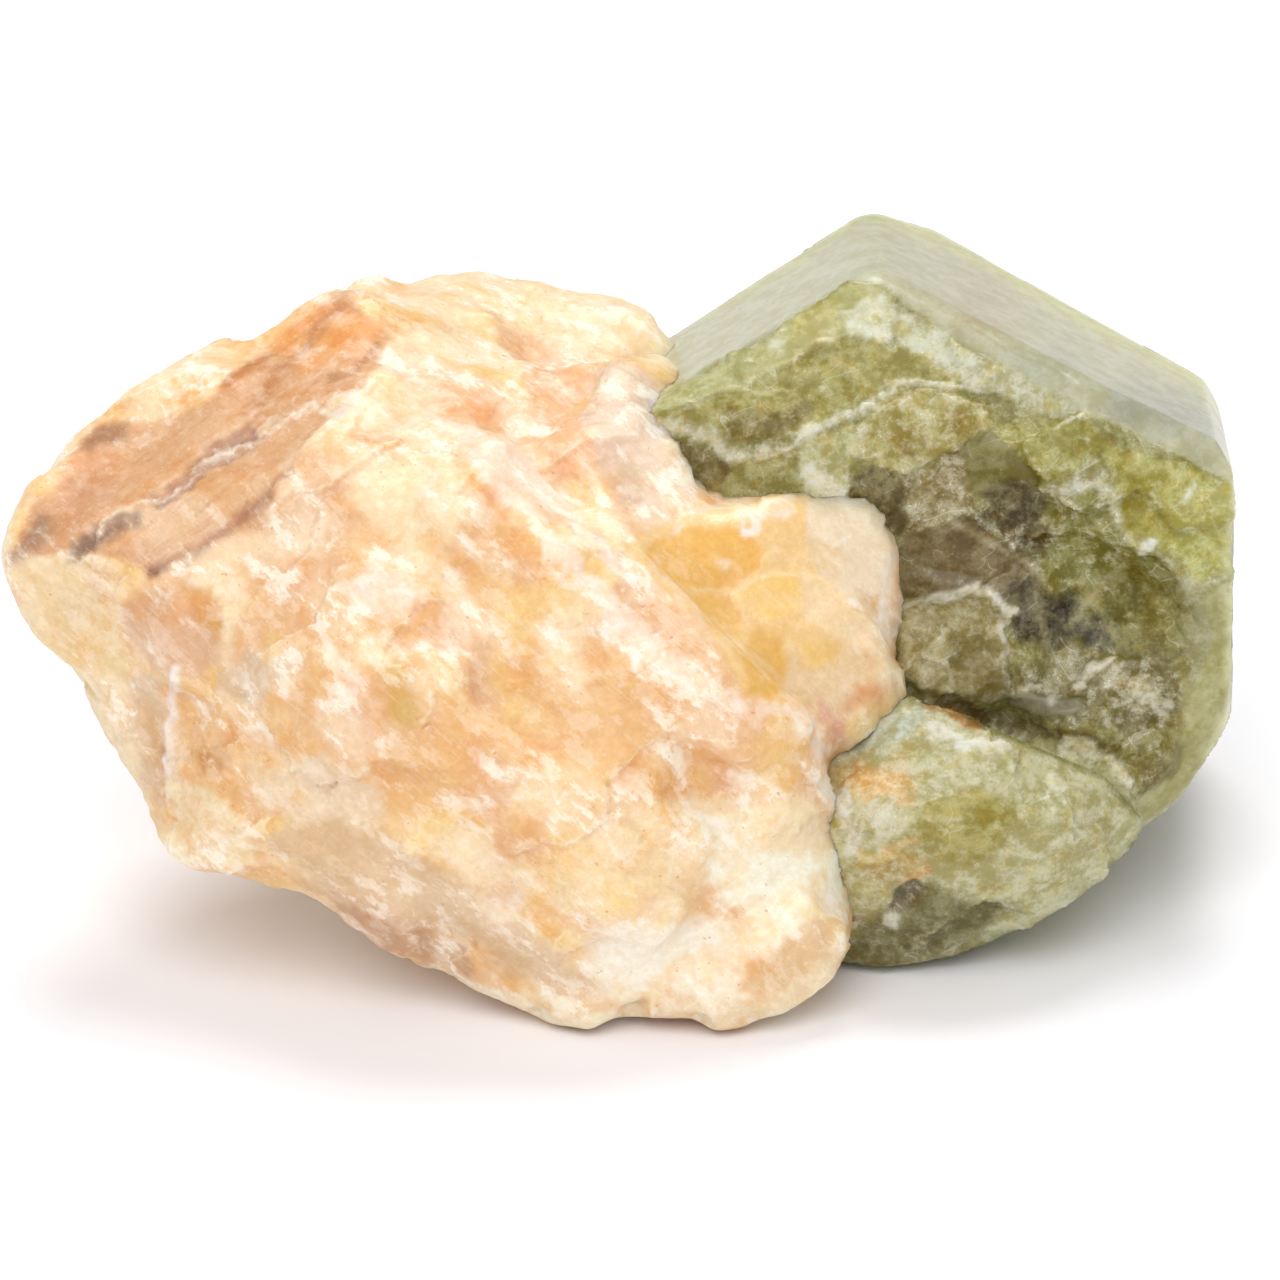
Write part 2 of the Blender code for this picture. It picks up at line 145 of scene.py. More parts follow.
def readVectors(rows, name):
    values = np.empty(len(rows) * 3, np.float32)
    rows.foreach_get(name, values)
    return values.reshape(-1, 3).astype(float)


def readMesh(obj):
    mesh = obj.data
    return toView(readVectors(mesh.vertices, "co")), readVectors(mesh.vertex_normals, "vector") @ viewAxes.T


def writeMesh(obj, seen):
    world = toWorld(seen)
    world[:, 2] = np.maximum(world[:, 2], cadBounds[0].z)  # nothing sinks into the table
    obj.data.vertices.foreach_set("co", world.astype(np.float32).ravel())
    obj.data.update()


def pairsOf(obj):
    pairs = np.empty(len(obj.data.edges) * 2, np.int32)
    obj.data.edges.foreach_get("vertices", pairs)
    return pairs.reshape(-1, 2)


def spread(values, pairs, rounds):
    # evens values out over the neighbours of each vertex
    count = len(values)
    both = np.concatenate((pairs, pairs[:, ::-1]))
    degree = np.maximum(np.bincount(both[:, 0], minlength=count), 1)
    for _ in range(rounds):
        total = np.bincount(both[:, 0], weights=values[both[:, 1]], minlength=count)
        values = (values + total / degree) / 2
    return values


def convexity(obj, pairs, rounds):
    # above 0 on edges and crests, below 0 in grooves
    seen, normals = readMesh(obj)
    middle = np.stack([spread(seen[:, axis], pairs, rounds) for axis in range(3)], axis=1)
    return ((seen - middle) * normals).sum(axis=1)


def facets(seen, normals, look, step, rng):
    # how far each point has to move so that the skin breaks into flat, tilted facets
    angle = math.radians(look["grainAngle"])
    turn = np.array(Matrix.Rotation(angle, 3, "Z")) / np.array(step["along"])[:, None]
    ragged = seen.copy()
    for axis in range(3):
        ragged[:, axis] += step["rag"] * cloud(seen, step["size"] / 2, 1, axis + 1)
    picks = rng.choice(len(seen), round(look["skinArea"] / step["size"] ** 2), replace=False)
    tree = kdtree.KDTree(len(picks))
    for index, spot in enumerate((seen[picks] @ turn.T).tolist()):
        tree.insert(spot, index)
    tree.balance()
    planes = normals[picks] + rng.normal(0, step["tilt"], (len(picks), 3))
    planes /= np.linalg.norm(planes, axis=1)[:, None]
    lift = rng.normal(0, step["lift"], len(picks))
    sides = skin["facetSides"]
    hits = [[hit[1] for hit in tree.find_n(spot, sides)] for spot in (ragged @ turn.T).tolist()]
    shifts = []
    for near in np.array(hits).T:
        gap = ((seen[picks[near]] - seen) * planes[near]).sum(axis=1) + lift[near]
        shifts.append(gap / np.maximum((normals * planes[near]).sum(axis=1), skin["leastFacing"]))
    shift = np.min(shifts, axis=0)
    return np.clip(shift - shift.mean(), -step["most"], step["most"])


def breakUp(seen, normals, look):
    rng = np.random.default_rng(look["seed"])
    moved = np.zeros(len(seen))
    for step in look["steps"]:
        moved += step["part"] * facets(seen, normals, look, step, rng)
    return moved


def uneven(seen, grains):
    # grains: height and size in millimetres, octaves and seed
    return sum(height * cloud(seen, *grain) for height, *grain in grains)


def aboveTable(seen):
    return ease(toWorld(seen)[:, 2] / mm, *skin["rests"])


# Painting: patches with an outline or along a line, placed at the pixel they have in the view.
# Most of their colours were then corrected by a program, from averages measured inside each patch.
brush = {
    "soft": 8,  # pixels over which an edge fades, where a patch names none
    "rag": 8,  # pixels by which it frays
    "coarseRag": (1.6, 3, 4),  # the noise that frays it: size in millimetres, octaves and first seed
    "fineRag": (0.5, 2, 6),
    "finePart": 0.5,
    "facing": (-0.05, 0.2),  # what turns away from the viewer isn't painted
}


def area(colour, outline, **finish):
    return {"colour": colour, "corners": np.array(outline, float), **finish}


def stroke(colour, width, line, **finish):
    return {"colour": colour, "width": width, "corners": np.array(line, float), **finish}


def lineDistance(pixels, corners):
    best = np.full(len(pixels), np.inf)
    for start, end in zip(corners[:-1], corners[1:]):
        way = end - start
        part = np.clip((pixels - start) @ way / (way @ way), 0, 1)
        best = np.minimum(best, np.linalg.norm(pixels - start - part[:, None] * way, axis=1))
    return best


def insideOutline(pixels, corners):
    inside = np.zeros(len(pixels), bool)
    x, y = pixels.T
    for (x0, y0), (x1, y1) in zip(corners, np.roll(corners, -1, axis=0)):
        crosses = (y0 > y) != (y1 > y)
        height = y1 - y0 if y1 != y0 else 1.0
        inside ^= crosses & (x < (x1 - x0) * (y - y0) / height + x0)
    return inside


def patchMask(pixels, patch):
    corners = patch["corners"]
    if "width" in patch:
        depth = patch["width"] / 2 - lineDistance(pixels, corners)
    else:
        away = lineDistance(pixels, np.vstack((corners, corners[:1])))
        depth = np.where(insideOutline(pixels, corners), away, -away)
    soft = patch.get("soft", brush["soft"])
    return ease(depth, -soft / 2, soft / 2) * patch.get("strength", 1.0)


def fray(seen, size, octaves, seed):
    return np.stack((cloud(seen, size, octaves, seed), cloud(seen, size, octaves, seed + 1)), axis=1)


def paint(seen, normals, tint, patches, traits):
    # lays the patches over one another, the later ones on top
    pixels = toPixels(seen)
    coarse = fray(seen, *brush["coarseRag"])
    fine = fray(seen, *brush["fineRag"])
    facing = ease(normals[:, 2], *brush["facing"])
    values = {trait: np.full(len(seen), start) for trait, start in traits.items()}
    for patch in patches.values():
        rag = patch.get("rag", brush["rag"])
        mask = patchMask(pixels + rag * coarse + brush["finePart"] * rag * fine, patch) * facing
        if patch["colour"]:
            tint = tint + mask[:, None] * (linear(patch["colour"]) - tint)
        for trait in traits:
            if trait in patch:
                values[trait] = values[trait] + mask * (patch[trait] - values[trait])
    return tint, values


def storeColour(obj, name, colour):
    layer = obj.data.attributes.new(name, "FLOAT_COLOR", "POINT")
    rgba = np.ones((len(colour), 4), np.float32)
    rgba[:, :3] = np.clip(colour, 0, 1)
    layer.data.foreach_set("color", rgba.ravel())


def coat(obj, pairs, look, tint, first, second, material):
    # two traits go with the tint, and the crests, which are read from the finished shape
    crest = convexity(obj, pairs, skin["crestRounds"])
    edges = np.clip(0.5 + crest / look["crestHeight"], 0, 1)
    storeColour(obj, "tint", tint * look["brightness"])
    storeColour(obj, "traits", np.stack((first, second, edges), axis=1))
    obj.data.shade_smooth()
    obj.data.materials.append(material)


# Shader maths: a wire is a socket, and sums on wires add Math nodes.
class Wire:
    def __init__(self, tree, socket):
        self.tree = tree
        self.socket = socket

    # adds a node of any type: its settings come first, then the values or wires of its sockets
    def node(self, kind, settings, values, output=0):
        made = self.tree.nodes.new(kind)
        for name, setting in settings.items():
            setattr(made, name, setting)
        for name, value in values.items():
            socket = made.inputs[name]
            if isinstance(value, Wire):
                self.tree.links.new(value.socket, socket)
            elif socket.type == "RGBA":
                socket.default_value = (*value, 1)
            else:
                socket.default_value = value
        return Wire(self.tree, made.outputs[output])

    def maths(self, operation, *others):
        values = dict(enumerate((self, *others)))
        return self.node("ShaderNodeMath", {"operation": operation}, values)

    def __add__(self, other):
        return self.maths("ADD", other)

    __radd__ = __add__

    def __mul__(self, other):
        return self.maths("MULTIPLY", other)

    __rmul__ = __mul__

    def __sub__(self, other):
        return self.maths("SUBTRACT", other)

    def __rsub__(self, other):
        return self.node("ShaderNodeMath", {"operation": "SUBTRACT"}, {0: other, 1: self})

    def most(self, other):
        return self.maths("MAXIMUM", other)

    def between(self, low, high):
        # 0 below low, 1 above high, eased
        settings = {"interpolation_type": "SMOOTHSTEP"}
        return self.node("ShaderNodeMapRange", settings, {"Value": self, "From Min": low, "From Max": high})

    def mixed(self, other, factor, blend="MIX"):
        settings = {"data_type": "RGBA", "blend_type": blend, "clamp_factor": True}
        return self.node("ShaderNodeMix", settings, {0: factor, 6: self, 7: other}, 2)

    def cast(self, light):
        return self.mixed(light, 1.0, "MULTIPLY")

    def laid(self, layer, mask):
        # a layer over this colour: a screen colour, or a cast of what is there
        over = tuple(linear(layer["colour"])) if "colour" in layer else self.cast(layer["cast"])
        return self.mixed(over, mask * layer["part"])

    def channel(self, index):
        return self.node("ShaderNodeSeparateColor", {}, {"Color": self}, index)

    def grained(self, stretch, angle):
        # a place turned and stretched, so that a pattern on it runs along a direction
        turned = self.node("ShaderNodeMapping", {}, {"Vector": self, "Rotation": (0, 0, math.radians(angle))})
        return turned.node("ShaderNodeVectorMath", {"operation": "MULTIPLY"}, {0: turned, 1: stretch})

    def pattern(self, look):
        # noise: clumps to a millimetre, detail and roughness, and the range over which it shows
        scale, detail, roughness = look["noise"]
        values = {"Vector": self, "Scale": scale, "Detail": detail, "Roughness": roughness}
        made = self.node("ShaderNodeTexNoise", {}, values)
        return made.between(*look["shows"]) if "shows" in look else made

    def bump(self, strength, depth):
        return self.node("ShaderNodeBump", {}, {"Height": self, "Strength": strength, "Distance": depth * mm})


def startMaterial(name):
    # the place as seen, in millimetres, and what was stored on the skin
    material = bpy.data.materials.new(name)
    material.use_nodes = True
    material.node_tree.nodes.clear()
    seed = Wire(material.node_tree, None)
    objectSpot = seed.node("ShaderNodeTexCoord", {}, {}, "Object")
    middle = tuple(Vector(view["middle"]) * mm)
    values = {"Vector": objectSpot, "Location": middle, "Rotation": (viewTurn, 0, 0), "Scale": (mm, mm, mm)}
    spot = seed.node("ShaderNodeMapping", {"vector_type": "TEXTURE"}, values)
    tint = seed.node("ShaderNodeAttribute", {"attribute_name": "tint"}, {}, "Color")
    traits = seed.node("ShaderNodeAttribute", {"attribute_name": "traits"}, {}, "Color")
    return material, spot, tint, [traits.channel(index) for index in range(3)]


def finishMaterial(spot, values):
    shader = spot.node("ShaderNodeBsdfPrincipled", {}, values)
    output = spot.tree.nodes.new("ShaderNodeOutputMaterial")
    spot.tree.links.new(shader.socket, output.inputs["Surface"])


# The garnet.
garnetLook = {
    "grain": 0.19,  # millimetres
    "softening": 4,
    "base": (142, 144, 82),
    "baseClouds": (5.0, 3, 8),  # size in millimetres, octaves and seed
    "baseRange": 0.2,
    "brightness": 1.15,
    "traits": {"broken": 0.3, "frost": 0.4, "lift": 0.0},
    "seed": 11,
    "skinArea": 1900,  # square millimetres
    "grainAngle": 0,  # degrees
    "steps": [
        {"size": 3.0, "tilt": 0.16, "lift": 0.03, "rag": 0.1, "most": 0.3, "part": 0.8, "along": (1, 1, 1)},
        {"size": 1.1, "tilt": 0.15, "lift": 0.012, "rag": 0.06, "most": 0.1, "part": 0.5, "along": (1, 1, 1)},
    ],
    "grains": [(0.04, 2.6, 2, 9), (0.03, 0.5, 2, 10)],
    "breaks": (0.1, 0.9),  # how broken a place is before its shape changes, and to change in full
    "crestHeight": 0.12,
}
garnetPatches = {
    # the outer crystal faces: frosted, and painted pale with a sheen of the white light they reflect
    "outerLeft": area((205, 207, 188), [(640, 350), (860, 195), (915, 225), (900, 300), (860, 285),
        (640, 408)], soft=14, rag=3, broken=0.03, frost=0.15),
    "outerRight": area((195, 196, 174), [(890, 200), (1250, 385), (1250, 500), (1060, 395), (960, 345),
        (900, 300), (880, 240)], soft=14, rag=3, broken=0.03, frost=0.15),
    "outerPink": area((192, 178, 160), [(950, 275), (1000, 282), (1012, 335), (960, 335)], soft=34, rag=16,
        strength=0.7),
    "outerCold": area((173, 177, 171), [(1110, 385), (1190, 395), (1235, 440), (1160, 440), (1100, 412)],
        soft=30, rag=12),
    "outerBand": area((184, 187, 170), [(1000, 350), (1060, 345), (1110, 390), (1050, 394), (1000, 372)],
        soft=20, rag=12),
    "edgeGlow": stroke((214, 216, 152), 26, [(676, 318), (770, 266), (862, 204), (960, 240), (1060, 298),
        (1160, 352), (1215, 384), (1238, 430)], soft=18, rag=4, strength=0.85),
    "brokenFront": area((146, 142, 84), [(640, 408), (700, 372), (765, 343), (840, 285), (865, 282),
        (900, 300), (960, 345), (1060, 400), (1225, 480), (1245, 500), (1245, 720), (1130, 850), (900, 720),
        (640, 520)], soft=5, rag=4, broken=1.0, frost=0.4),
    "ridgeBand": area((191, 191, 140), [(642, 400), (700, 372), (765, 344), (840, 286), (868, 284),
        (895, 300), (862, 328), (800, 352), (740, 388), (700, 398), (660, 412)], rag=5, frost=0.3,
        broken=0.5),
    "ridgeGold": area((198, 192, 129), [(802, 310), (838, 296), (832, 328), (800, 342), (786, 345)], rag=5),
    "ridgeWhite": area((234, 239, 228), [(842, 312), (866, 300), (890, 302), (905, 318), (888, 342),
        (862, 341), (848, 330)], soft=6, rag=7, lift=0.1, frost=0.8),
    "ridgeSpot": area((215, 218, 198), [(768, 338), (783, 341), (786, 354), (771, 353)], rag=5),
    # frosted, and lightened with painted light that fills the shaded crease under the ridge
    "ridgeRight": area((204, 207, 184), [(898, 304), (960, 345), (1010, 372), (1062, 398), (1110, 418),
        (1060, 420), (1000, 392), (960, 372), (900, 350), (890, 330)], rag=6, frost=0.6),
    "greenBand": area((160, 153, 80), [(655, 414), (700, 402), (745, 390), (800, 358), (850, 336), (905, 350),
        (965, 374), (900, 386), (870, 396), (820, 424), (770, 438), (705, 430), (668, 426)], soft=6, rag=5,
        frost=0.25),
    "bandDeep": area((129, 115, 42), [(720, 412), (780, 412), (808, 400), (812, 420), (765, 438), (725, 434)],
        soft=12, rag=6),
    "leftDark": area((122, 108, 60), [(658, 442), (700, 447), (730, 456), (735, 470), (720, 485), (698, 492),
        (670, 490), (655, 472)], rag=5, frost=0.2),
    "leftGreen": area((158, 156, 99), [(735, 460), (800, 452), (806, 490), (800, 502), (700, 502),
        (722, 482)], frost=0.35),
    "leftPale": area((196, 196, 155), [(800, 442), (850, 428), (864, 445), (842, 470), (848, 505), (800, 500),
        (806, 470)], frost=0.6),
    "whiteCorner": stroke((237, 242, 242), 18, [(812, 476), (828, 490), (850, 506)], rag=10, strength=0.8,
        frost=0.9),
    "heel": area((180, 170, 106), [(852, 430), (880, 400), (930, 390), (985, 404), (1000, 428), (965, 446),
        (925, 460), (900, 472), (885, 468), (862, 460)], soft=6, rag=6, lift=0.2, frost=0.62),
    "heelBrown": area((171, 154, 89), [(892, 426), (916, 424), (930, 446), (910, 458), (896, 446)],
        frost=0.4),
    "heelRust": area((168, 151, 81), [(938, 412), (968, 408), (980, 424), (968, 440), (945, 428)], frost=0.4),
    "oliveTop": area((160, 156, 73), [(1000, 424), (1085, 424), (1108, 446), (1068, 472), (1045, 480),
        (1020, 456), (1000, 440)], frost=0.35),
    "darkLeft": area((103, 88, 36), [(846, 472), (880, 465), (908, 474), (925, 488), (905, 505), (918, 525),
        (902, 545), (888, 520), (876, 510), (848, 512), (840, 495)], soft=5, rag=7, frost=0.2),
    "veiledBrown": area((144, 127, 78), [(900, 478), (962, 446), (974, 500), (962, 514), (930, 530),
        (908, 545), (910, 506)], soft=6, rag=5, frost=0.7),
    "centreHaze": area((96, 84, 37), [(968, 500), (1040, 516), (1060, 540), (1040, 566), (1005, 550),
        (975, 530)], soft=10, frost=0.5),
    "centreGreen": area((128, 124, 48), [(1040, 478), (1100, 480), (1130, 520), (1160, 556), (1130, 575),
        (1085, 600), (1050, 600), (1040, 566), (1058, 530)], soft=12, rag=10, frost=0.45),
    "darkPlane": area((118, 110, 44), [(959, 444), (992, 427), (1006, 440), (1020, 456), (1046, 480),
        (1010, 488), (976, 498), (966, 480)], soft=3, rag=2, lift=-0.12, frost=0.2, broken=0.4),
    "darkBrown": area((76, 61, 18), [(984, 494), (1010, 484), (1042, 486), (1050, 505), (1036, 522),
        (1000, 528)], rag=4, frost=0.1),
    "brownPlane": area((107, 84, 33), [(934, 528), (965, 511), (985, 530), (1010, 550), (1036, 566),
        (1042, 600), (1000, 602), (975, 588), (925, 598), (900, 590), (898, 560), (912, 540)], soft=4, rag=3,
        lift=-0.1, frost=0.3, broken=0.6),
    "brownWarm": area((106, 80, 40), [(986, 556), (1014, 560), (1006, 584), (982, 580)], soft=14,
        strength=0.8),
    "darkPurple": area((60, 40, 8), [(992, 594), (1030, 576), (1048, 598), (1045, 640), (1025, 645),
        (1010, 625), (1016, 606)], soft=12, lift=-0.1, frost=0.1),
    "darkHollow": area((39, 26, 0), [(1045, 598), (1076, 594), (1088, 625), (1072, 650), (1050, 662),
        (1038, 645)], soft=22, rag=4, lift=-0.15, frost=0.05),
    "oliveBright": area((190, 189, 114), [(1095, 448), (1180, 468), (1238, 488), (1238, 572), (1195, 582),
        (1168, 554), (1125, 520), (1108, 482)], soft=10, frost=0.4),
    "oliveYellow": area((160, 150, 36), [(1108, 470), (1160, 478), (1172, 530), (1150, 545), (1124, 515)],
        soft=20, strength=0.9, frost=0.2),
    "oliveLime": area((182, 185, 103), [(1166, 545), (1205, 540), (1232, 560), (1200, 580)], soft=16,
        strength=0.8),
    "hollow": area((110, 103, 0), [(1084, 602), (1100, 584), (1128, 570), (1150, 564), (1172, 580),
        (1184, 620), (1182, 650), (1165, 664), (1125, 656), (1105, 650), (1072, 650), (1090, 622)], soft=10,
        rag=5, lift=-0.15, frost=0.12),
    "hollowDeep": area((51, 44, 0), [(1078, 624), (1108, 612), (1114, 645), (1080, 650)], soft=14, rag=4),
    "hollowGold": area((126, 116, 0), [(1136, 596), (1168, 600), (1176, 640), (1140, 650)], soft=20),
    "rightRim": area((174, 171, 120), [(1186, 600), (1245, 580), (1245, 730), (1200, 810), (1150, 860),
        (1128, 815), (1180, 730), (1196, 670)], soft=22, rag=12, broken=0.3, frost=0.25),
    "rimBow": area((170, 168, 137), [(1170, 574), (1200, 594), (1212, 640), (1196, 690), (1186, 650),
        (1184, 615)], soft=12, strength=0.9, frost=0.3),
    # painted light: the right rim fades to pale where it catches the light
    "rimLightFade": stroke((244, 248, 210), 22, [(1240, 440), (1241, 560), (1241, 680), (1228, 745), (1204, 795),
        (1165, 842)], soft=20, rag=4, broken=0.1),
    "milkyPlane": area((152, 138, 87), [(890, 606), (930, 597), (985, 600), (1006, 625), (1010, 650),
        (1020, 700), (975, 714), (925, 702), (905, 675), (892, 640)], soft=6, lift=0.15, frost=0.65,
        broken=0.6),
    "milkyShade": area((124, 107, 53), [(940, 640), (990, 640), (1015, 665), (985, 690), (950, 670)], soft=20,
        rag=12, frost=0.35),
    "sparkle": area((130, 120, 72), [(1000, 658), (1040, 664), (1060, 654), (1110, 654), (1160, 664),
        (1188, 690), (1186, 728), (1140, 738), (1060, 722), (1006, 712)], rag=10, frost=0.62),
    "greyPlane": area((121, 112, 93), [(1012, 694), (1085, 696), (1086, 712), (1040, 716), (1012, 708)],
        soft=3, rag=2, frost=0.0, broken=0.1),
    # painted shade along the crevice between the big crystal and the lower lobe
    "crevice": stroke((109, 94, 57), 15, [(925, 700), (985, 722), (1010, 726), (1060, 736), (1100, 748),
        (1135, 770)], rag=6, frost=0.2, lift=-0.15),
    "creviceGreen": area((121, 110, 29), [(1105, 748), (1150, 734), (1184, 745), (1172, 778), (1140, 795),
        (1122, 766)], soft=10),
    # painted highlight where the raised plate's edge catches the light, over frosted white
    "milkyEdgeHighlight": stroke((237, 236, 237), 9, [(892, 602), (925, 597), (955, 597), (972, 586), (985, 592),
        (1000, 606), (1018, 613)], soft=5, rag=6, frost=0.8),
    "milkyFall": stroke((208, 202, 193), 11, [(1004, 612), (1000, 630), (1010, 648)], soft=6, rag=9,
        frost=0.8),
    "veinLeft": stroke((207, 206, 190), 13, [(650, 428), (690, 428), (712, 438), (735, 457)], rag=5,
        frost=0.5),
    "veinRise": stroke((214, 215, 199), 9, [(735, 456), (770, 450), (800, 440), (822, 426), (848, 420),
        (872, 400), (895, 386), (960, 380), (1000, 388)], rag=10, frost=0.8, lift=0.12),
    "veinRidge": stroke((206, 203, 157), 6, [(742, 388), (765, 372), (800, 352), (830, 332), (850, 316)],
        rag=4, frost=0.5),
    "paleTop": stroke((188, 188, 174), 16, [(1058, 488), (1085, 484), (1104, 486)], soft=10, frost=0.8),
    "bow": stroke((196, 196, 164), 10, [(1098, 482), (1118, 500), (1122, 520), (1134, 540), (1156, 554),
        (1174, 574), (1200, 588), (1234, 574)], soft=10, rag=7, strength=0.85, frost=0.6, lift=0.15),
    "glintLong": stroke((234, 230, 228), 8, [(1078, 682), (1094, 666), (1112, 655)], soft=4, rag=9,
        strength=0.8, frost=1.0, lift=0.15),
    "glintLow": stroke((216, 210, 192), 10, [(1112, 690), (1136, 688), (1152, 704), (1166, 712)], soft=5,
        rag=16, strength=0.6, frost=1.0, lift=0.12),
    "glintLeft": stroke((210, 204, 198), 6, [(1026, 692), (1040, 686), (1056, 690), (1050, 700)], soft=4,
        rag=7, strength=0.7, frost=0.8),
    "glintTop": stroke((228, 227, 208), 6, [(1182, 502), (1192, 484)], soft=4, rag=3),
    "glintMid": stroke((254, 255, 253), 9, [(1145, 556), (1156, 544)], soft=5, rag=5),
    "threadTop": stroke((180, 170, 144), 6, [(948, 518), (975, 536), (1000, 548), (1028, 560), (1041, 580)],
        soft=4, rag=3, strength=0.6),
    "threadDown": stroke((167, 156, 125), 6, [(1033, 566), (1038, 600), (1046, 640), (1050, 660)], soft=4,
        rag=2, strength=0.5),
    "threadCross": stroke((175, 170, 132), 6, [(1070, 626), (1085, 606), (1102, 582), (1126, 568)], soft=4,
        rag=3, strength=0.6),
    "threadRight": stroke((157, 150, 98), 6, [(1090, 602), (1106, 620), (1119, 641)], soft=4, rag=2,
        strength=0.55),
    "threadHollow": stroke((172, 170, 114), 6, [(1140, 590), (1160, 604), (1186, 596)], soft=4, rag=3,
        strength=0.5),
    "lower": area((194, 191, 152), [(828, 745), (866, 704), (905, 702), (932, 716), (990, 732), (1060, 746),
        (1112, 770), (1132, 800), (1126, 840), (1100, 890), (1030, 930), (950, 975), (880, 982), (826, 970),
        (848, 905), (830, 820)], soft=5, rag=4, broken=0.8, frost=0.55),
    "lowerPale": area((200, 211, 205), [(838, 745), (866, 705), (905, 703), (930, 716), (905, 745),
        (870, 752)], soft=14, rag=10),
    "lowerShade": area((240, 200, 146), [(832, 770), (852, 760), (902, 764), (908, 800), (880, 806),
        (845, 802)], soft=20, rag=10),
    "lowerOlive": area((167, 156, 78), [(908, 802), (960, 792), (1012, 800), (1022, 830), (1000, 852),
        (950, 862), (905, 846)], soft=24, rag=14, frost=0.25),
    "lowerTan": area((188, 163, 104), [(856, 858), (900, 846), (930, 862), (905, 884), (875, 880)], soft=16,
        rag=10),
    "lowerUnder": area((120, 114, 74), [(850, 930), (890, 905), (925, 882), (970, 895), (1030, 912),
        (990, 950), (920, 985), (826, 975)], soft=22, lift=-0.1, frost=0.25),
    "lowerEdge": stroke((194, 196, 161), 22, [(1000, 936), (1060, 896), (1112, 850), (1140, 830)], soft=16,
        rag=6, frost=0.3),
    "lowerNotch": area((114, 108, 96), [(892, 890), (915, 877), (924, 890), (906, 913), (884, 911)], soft=5,
        rag=4, lift=-0.3, frost=0.5),
    "lobeWhite": stroke((234, 236, 236), 12, [(930, 738), (958, 740), (984, 748), (1002, 756)], soft=5,
        rag=14, strength=0.8, frost=1.0, lift=0.08),
    "lobeCrest": stroke((216, 214, 188), 10, [(1066, 740), (1090, 750), (1112, 762), (1128, 780)], soft=5,
        rag=7, frost=0.8),
    "lobeStreak": stroke((235, 235, 212), 6, [(1000, 756), (1014, 774), (1026, 796)], soft=5, rag=5,
        strength=0.8),
    "lobeGlint": stroke((237, 238, 221), 9, [(1056, 778), (1066, 800), (1072, 824)], soft=5, rag=9,
        strength=0.9),
    "lobeGlintLow": stroke((228, 228, 208), 6, [(1036, 794), (1050, 816)], soft=5, rag=7),
    "lobePatch": area((211, 205, 178), [(872, 806), (900, 800), (900, 830), (876, 838), (858, 822)], rag=18,
        strength=0.8, frost=0.8),
    "lobeSide": stroke((230, 226, 224), 14, [(840, 800), (848, 826), (856, 846)], frost=0.6),
    "lobeGlow": stroke((222, 224, 206), 8, [(840, 754), (854, 744)], soft=6),
    "lobeCream": stroke((222, 200, 138), 12, [(862, 856), (880, 858), (892, 850)], soft=6),
    "notchWhite": area((213, 212, 206), [(882, 914), (898, 914), (897, 930), (880, 928)], soft=4, rag=4),
    "stainTop": stroke((187, 136, 77), 7, [(928, 712), (955, 717), (978, 727)], rag=5),
    "stainMid": stroke((220, 186, 138), 6, [(885, 846), (905, 840), (918, 838)], rag=6),
    "stainNotch": stroke((213, 165, 103), 7, [(904, 880), (915, 874), (928, 868)], rag=4),
    "stainFoot": stroke((132, 82, 34), 9, [(828, 902), (838, 908), (852, 918)], rag=4),
}


def dressGarnet():
    obj = fineCopy("garnet_crystals", "garnetCrystalSkin", garnetLook)
    seen, normals = readMesh(obj)
    pairs = pairsOf(obj)
    tint = np.tile(linear(garnetLook["base"]), (len(seen), 1))
    tint *= (1 + garnetLook["baseRange"] * cloud(seen, *garnetLook["baseClouds"]))[:, None]
    tint, traits = paint(seen, normals, tint, garnetPatches, garnetLook["traits"])
    moved = breakUp(seen, normals, garnetLook) + uneven(seen, garnetLook["grains"])
    moved = moved * ease(traits["broken"], *garnetLook["breaks"]) + traits["lift"]
    writeMesh(obj, seen + normals * (moved * aboveTable(seen))[:, None])
    coat(obj, pairs, garnetLook, tint, traits["broken"], traits["frost"], garnetMaterial())
    return obj


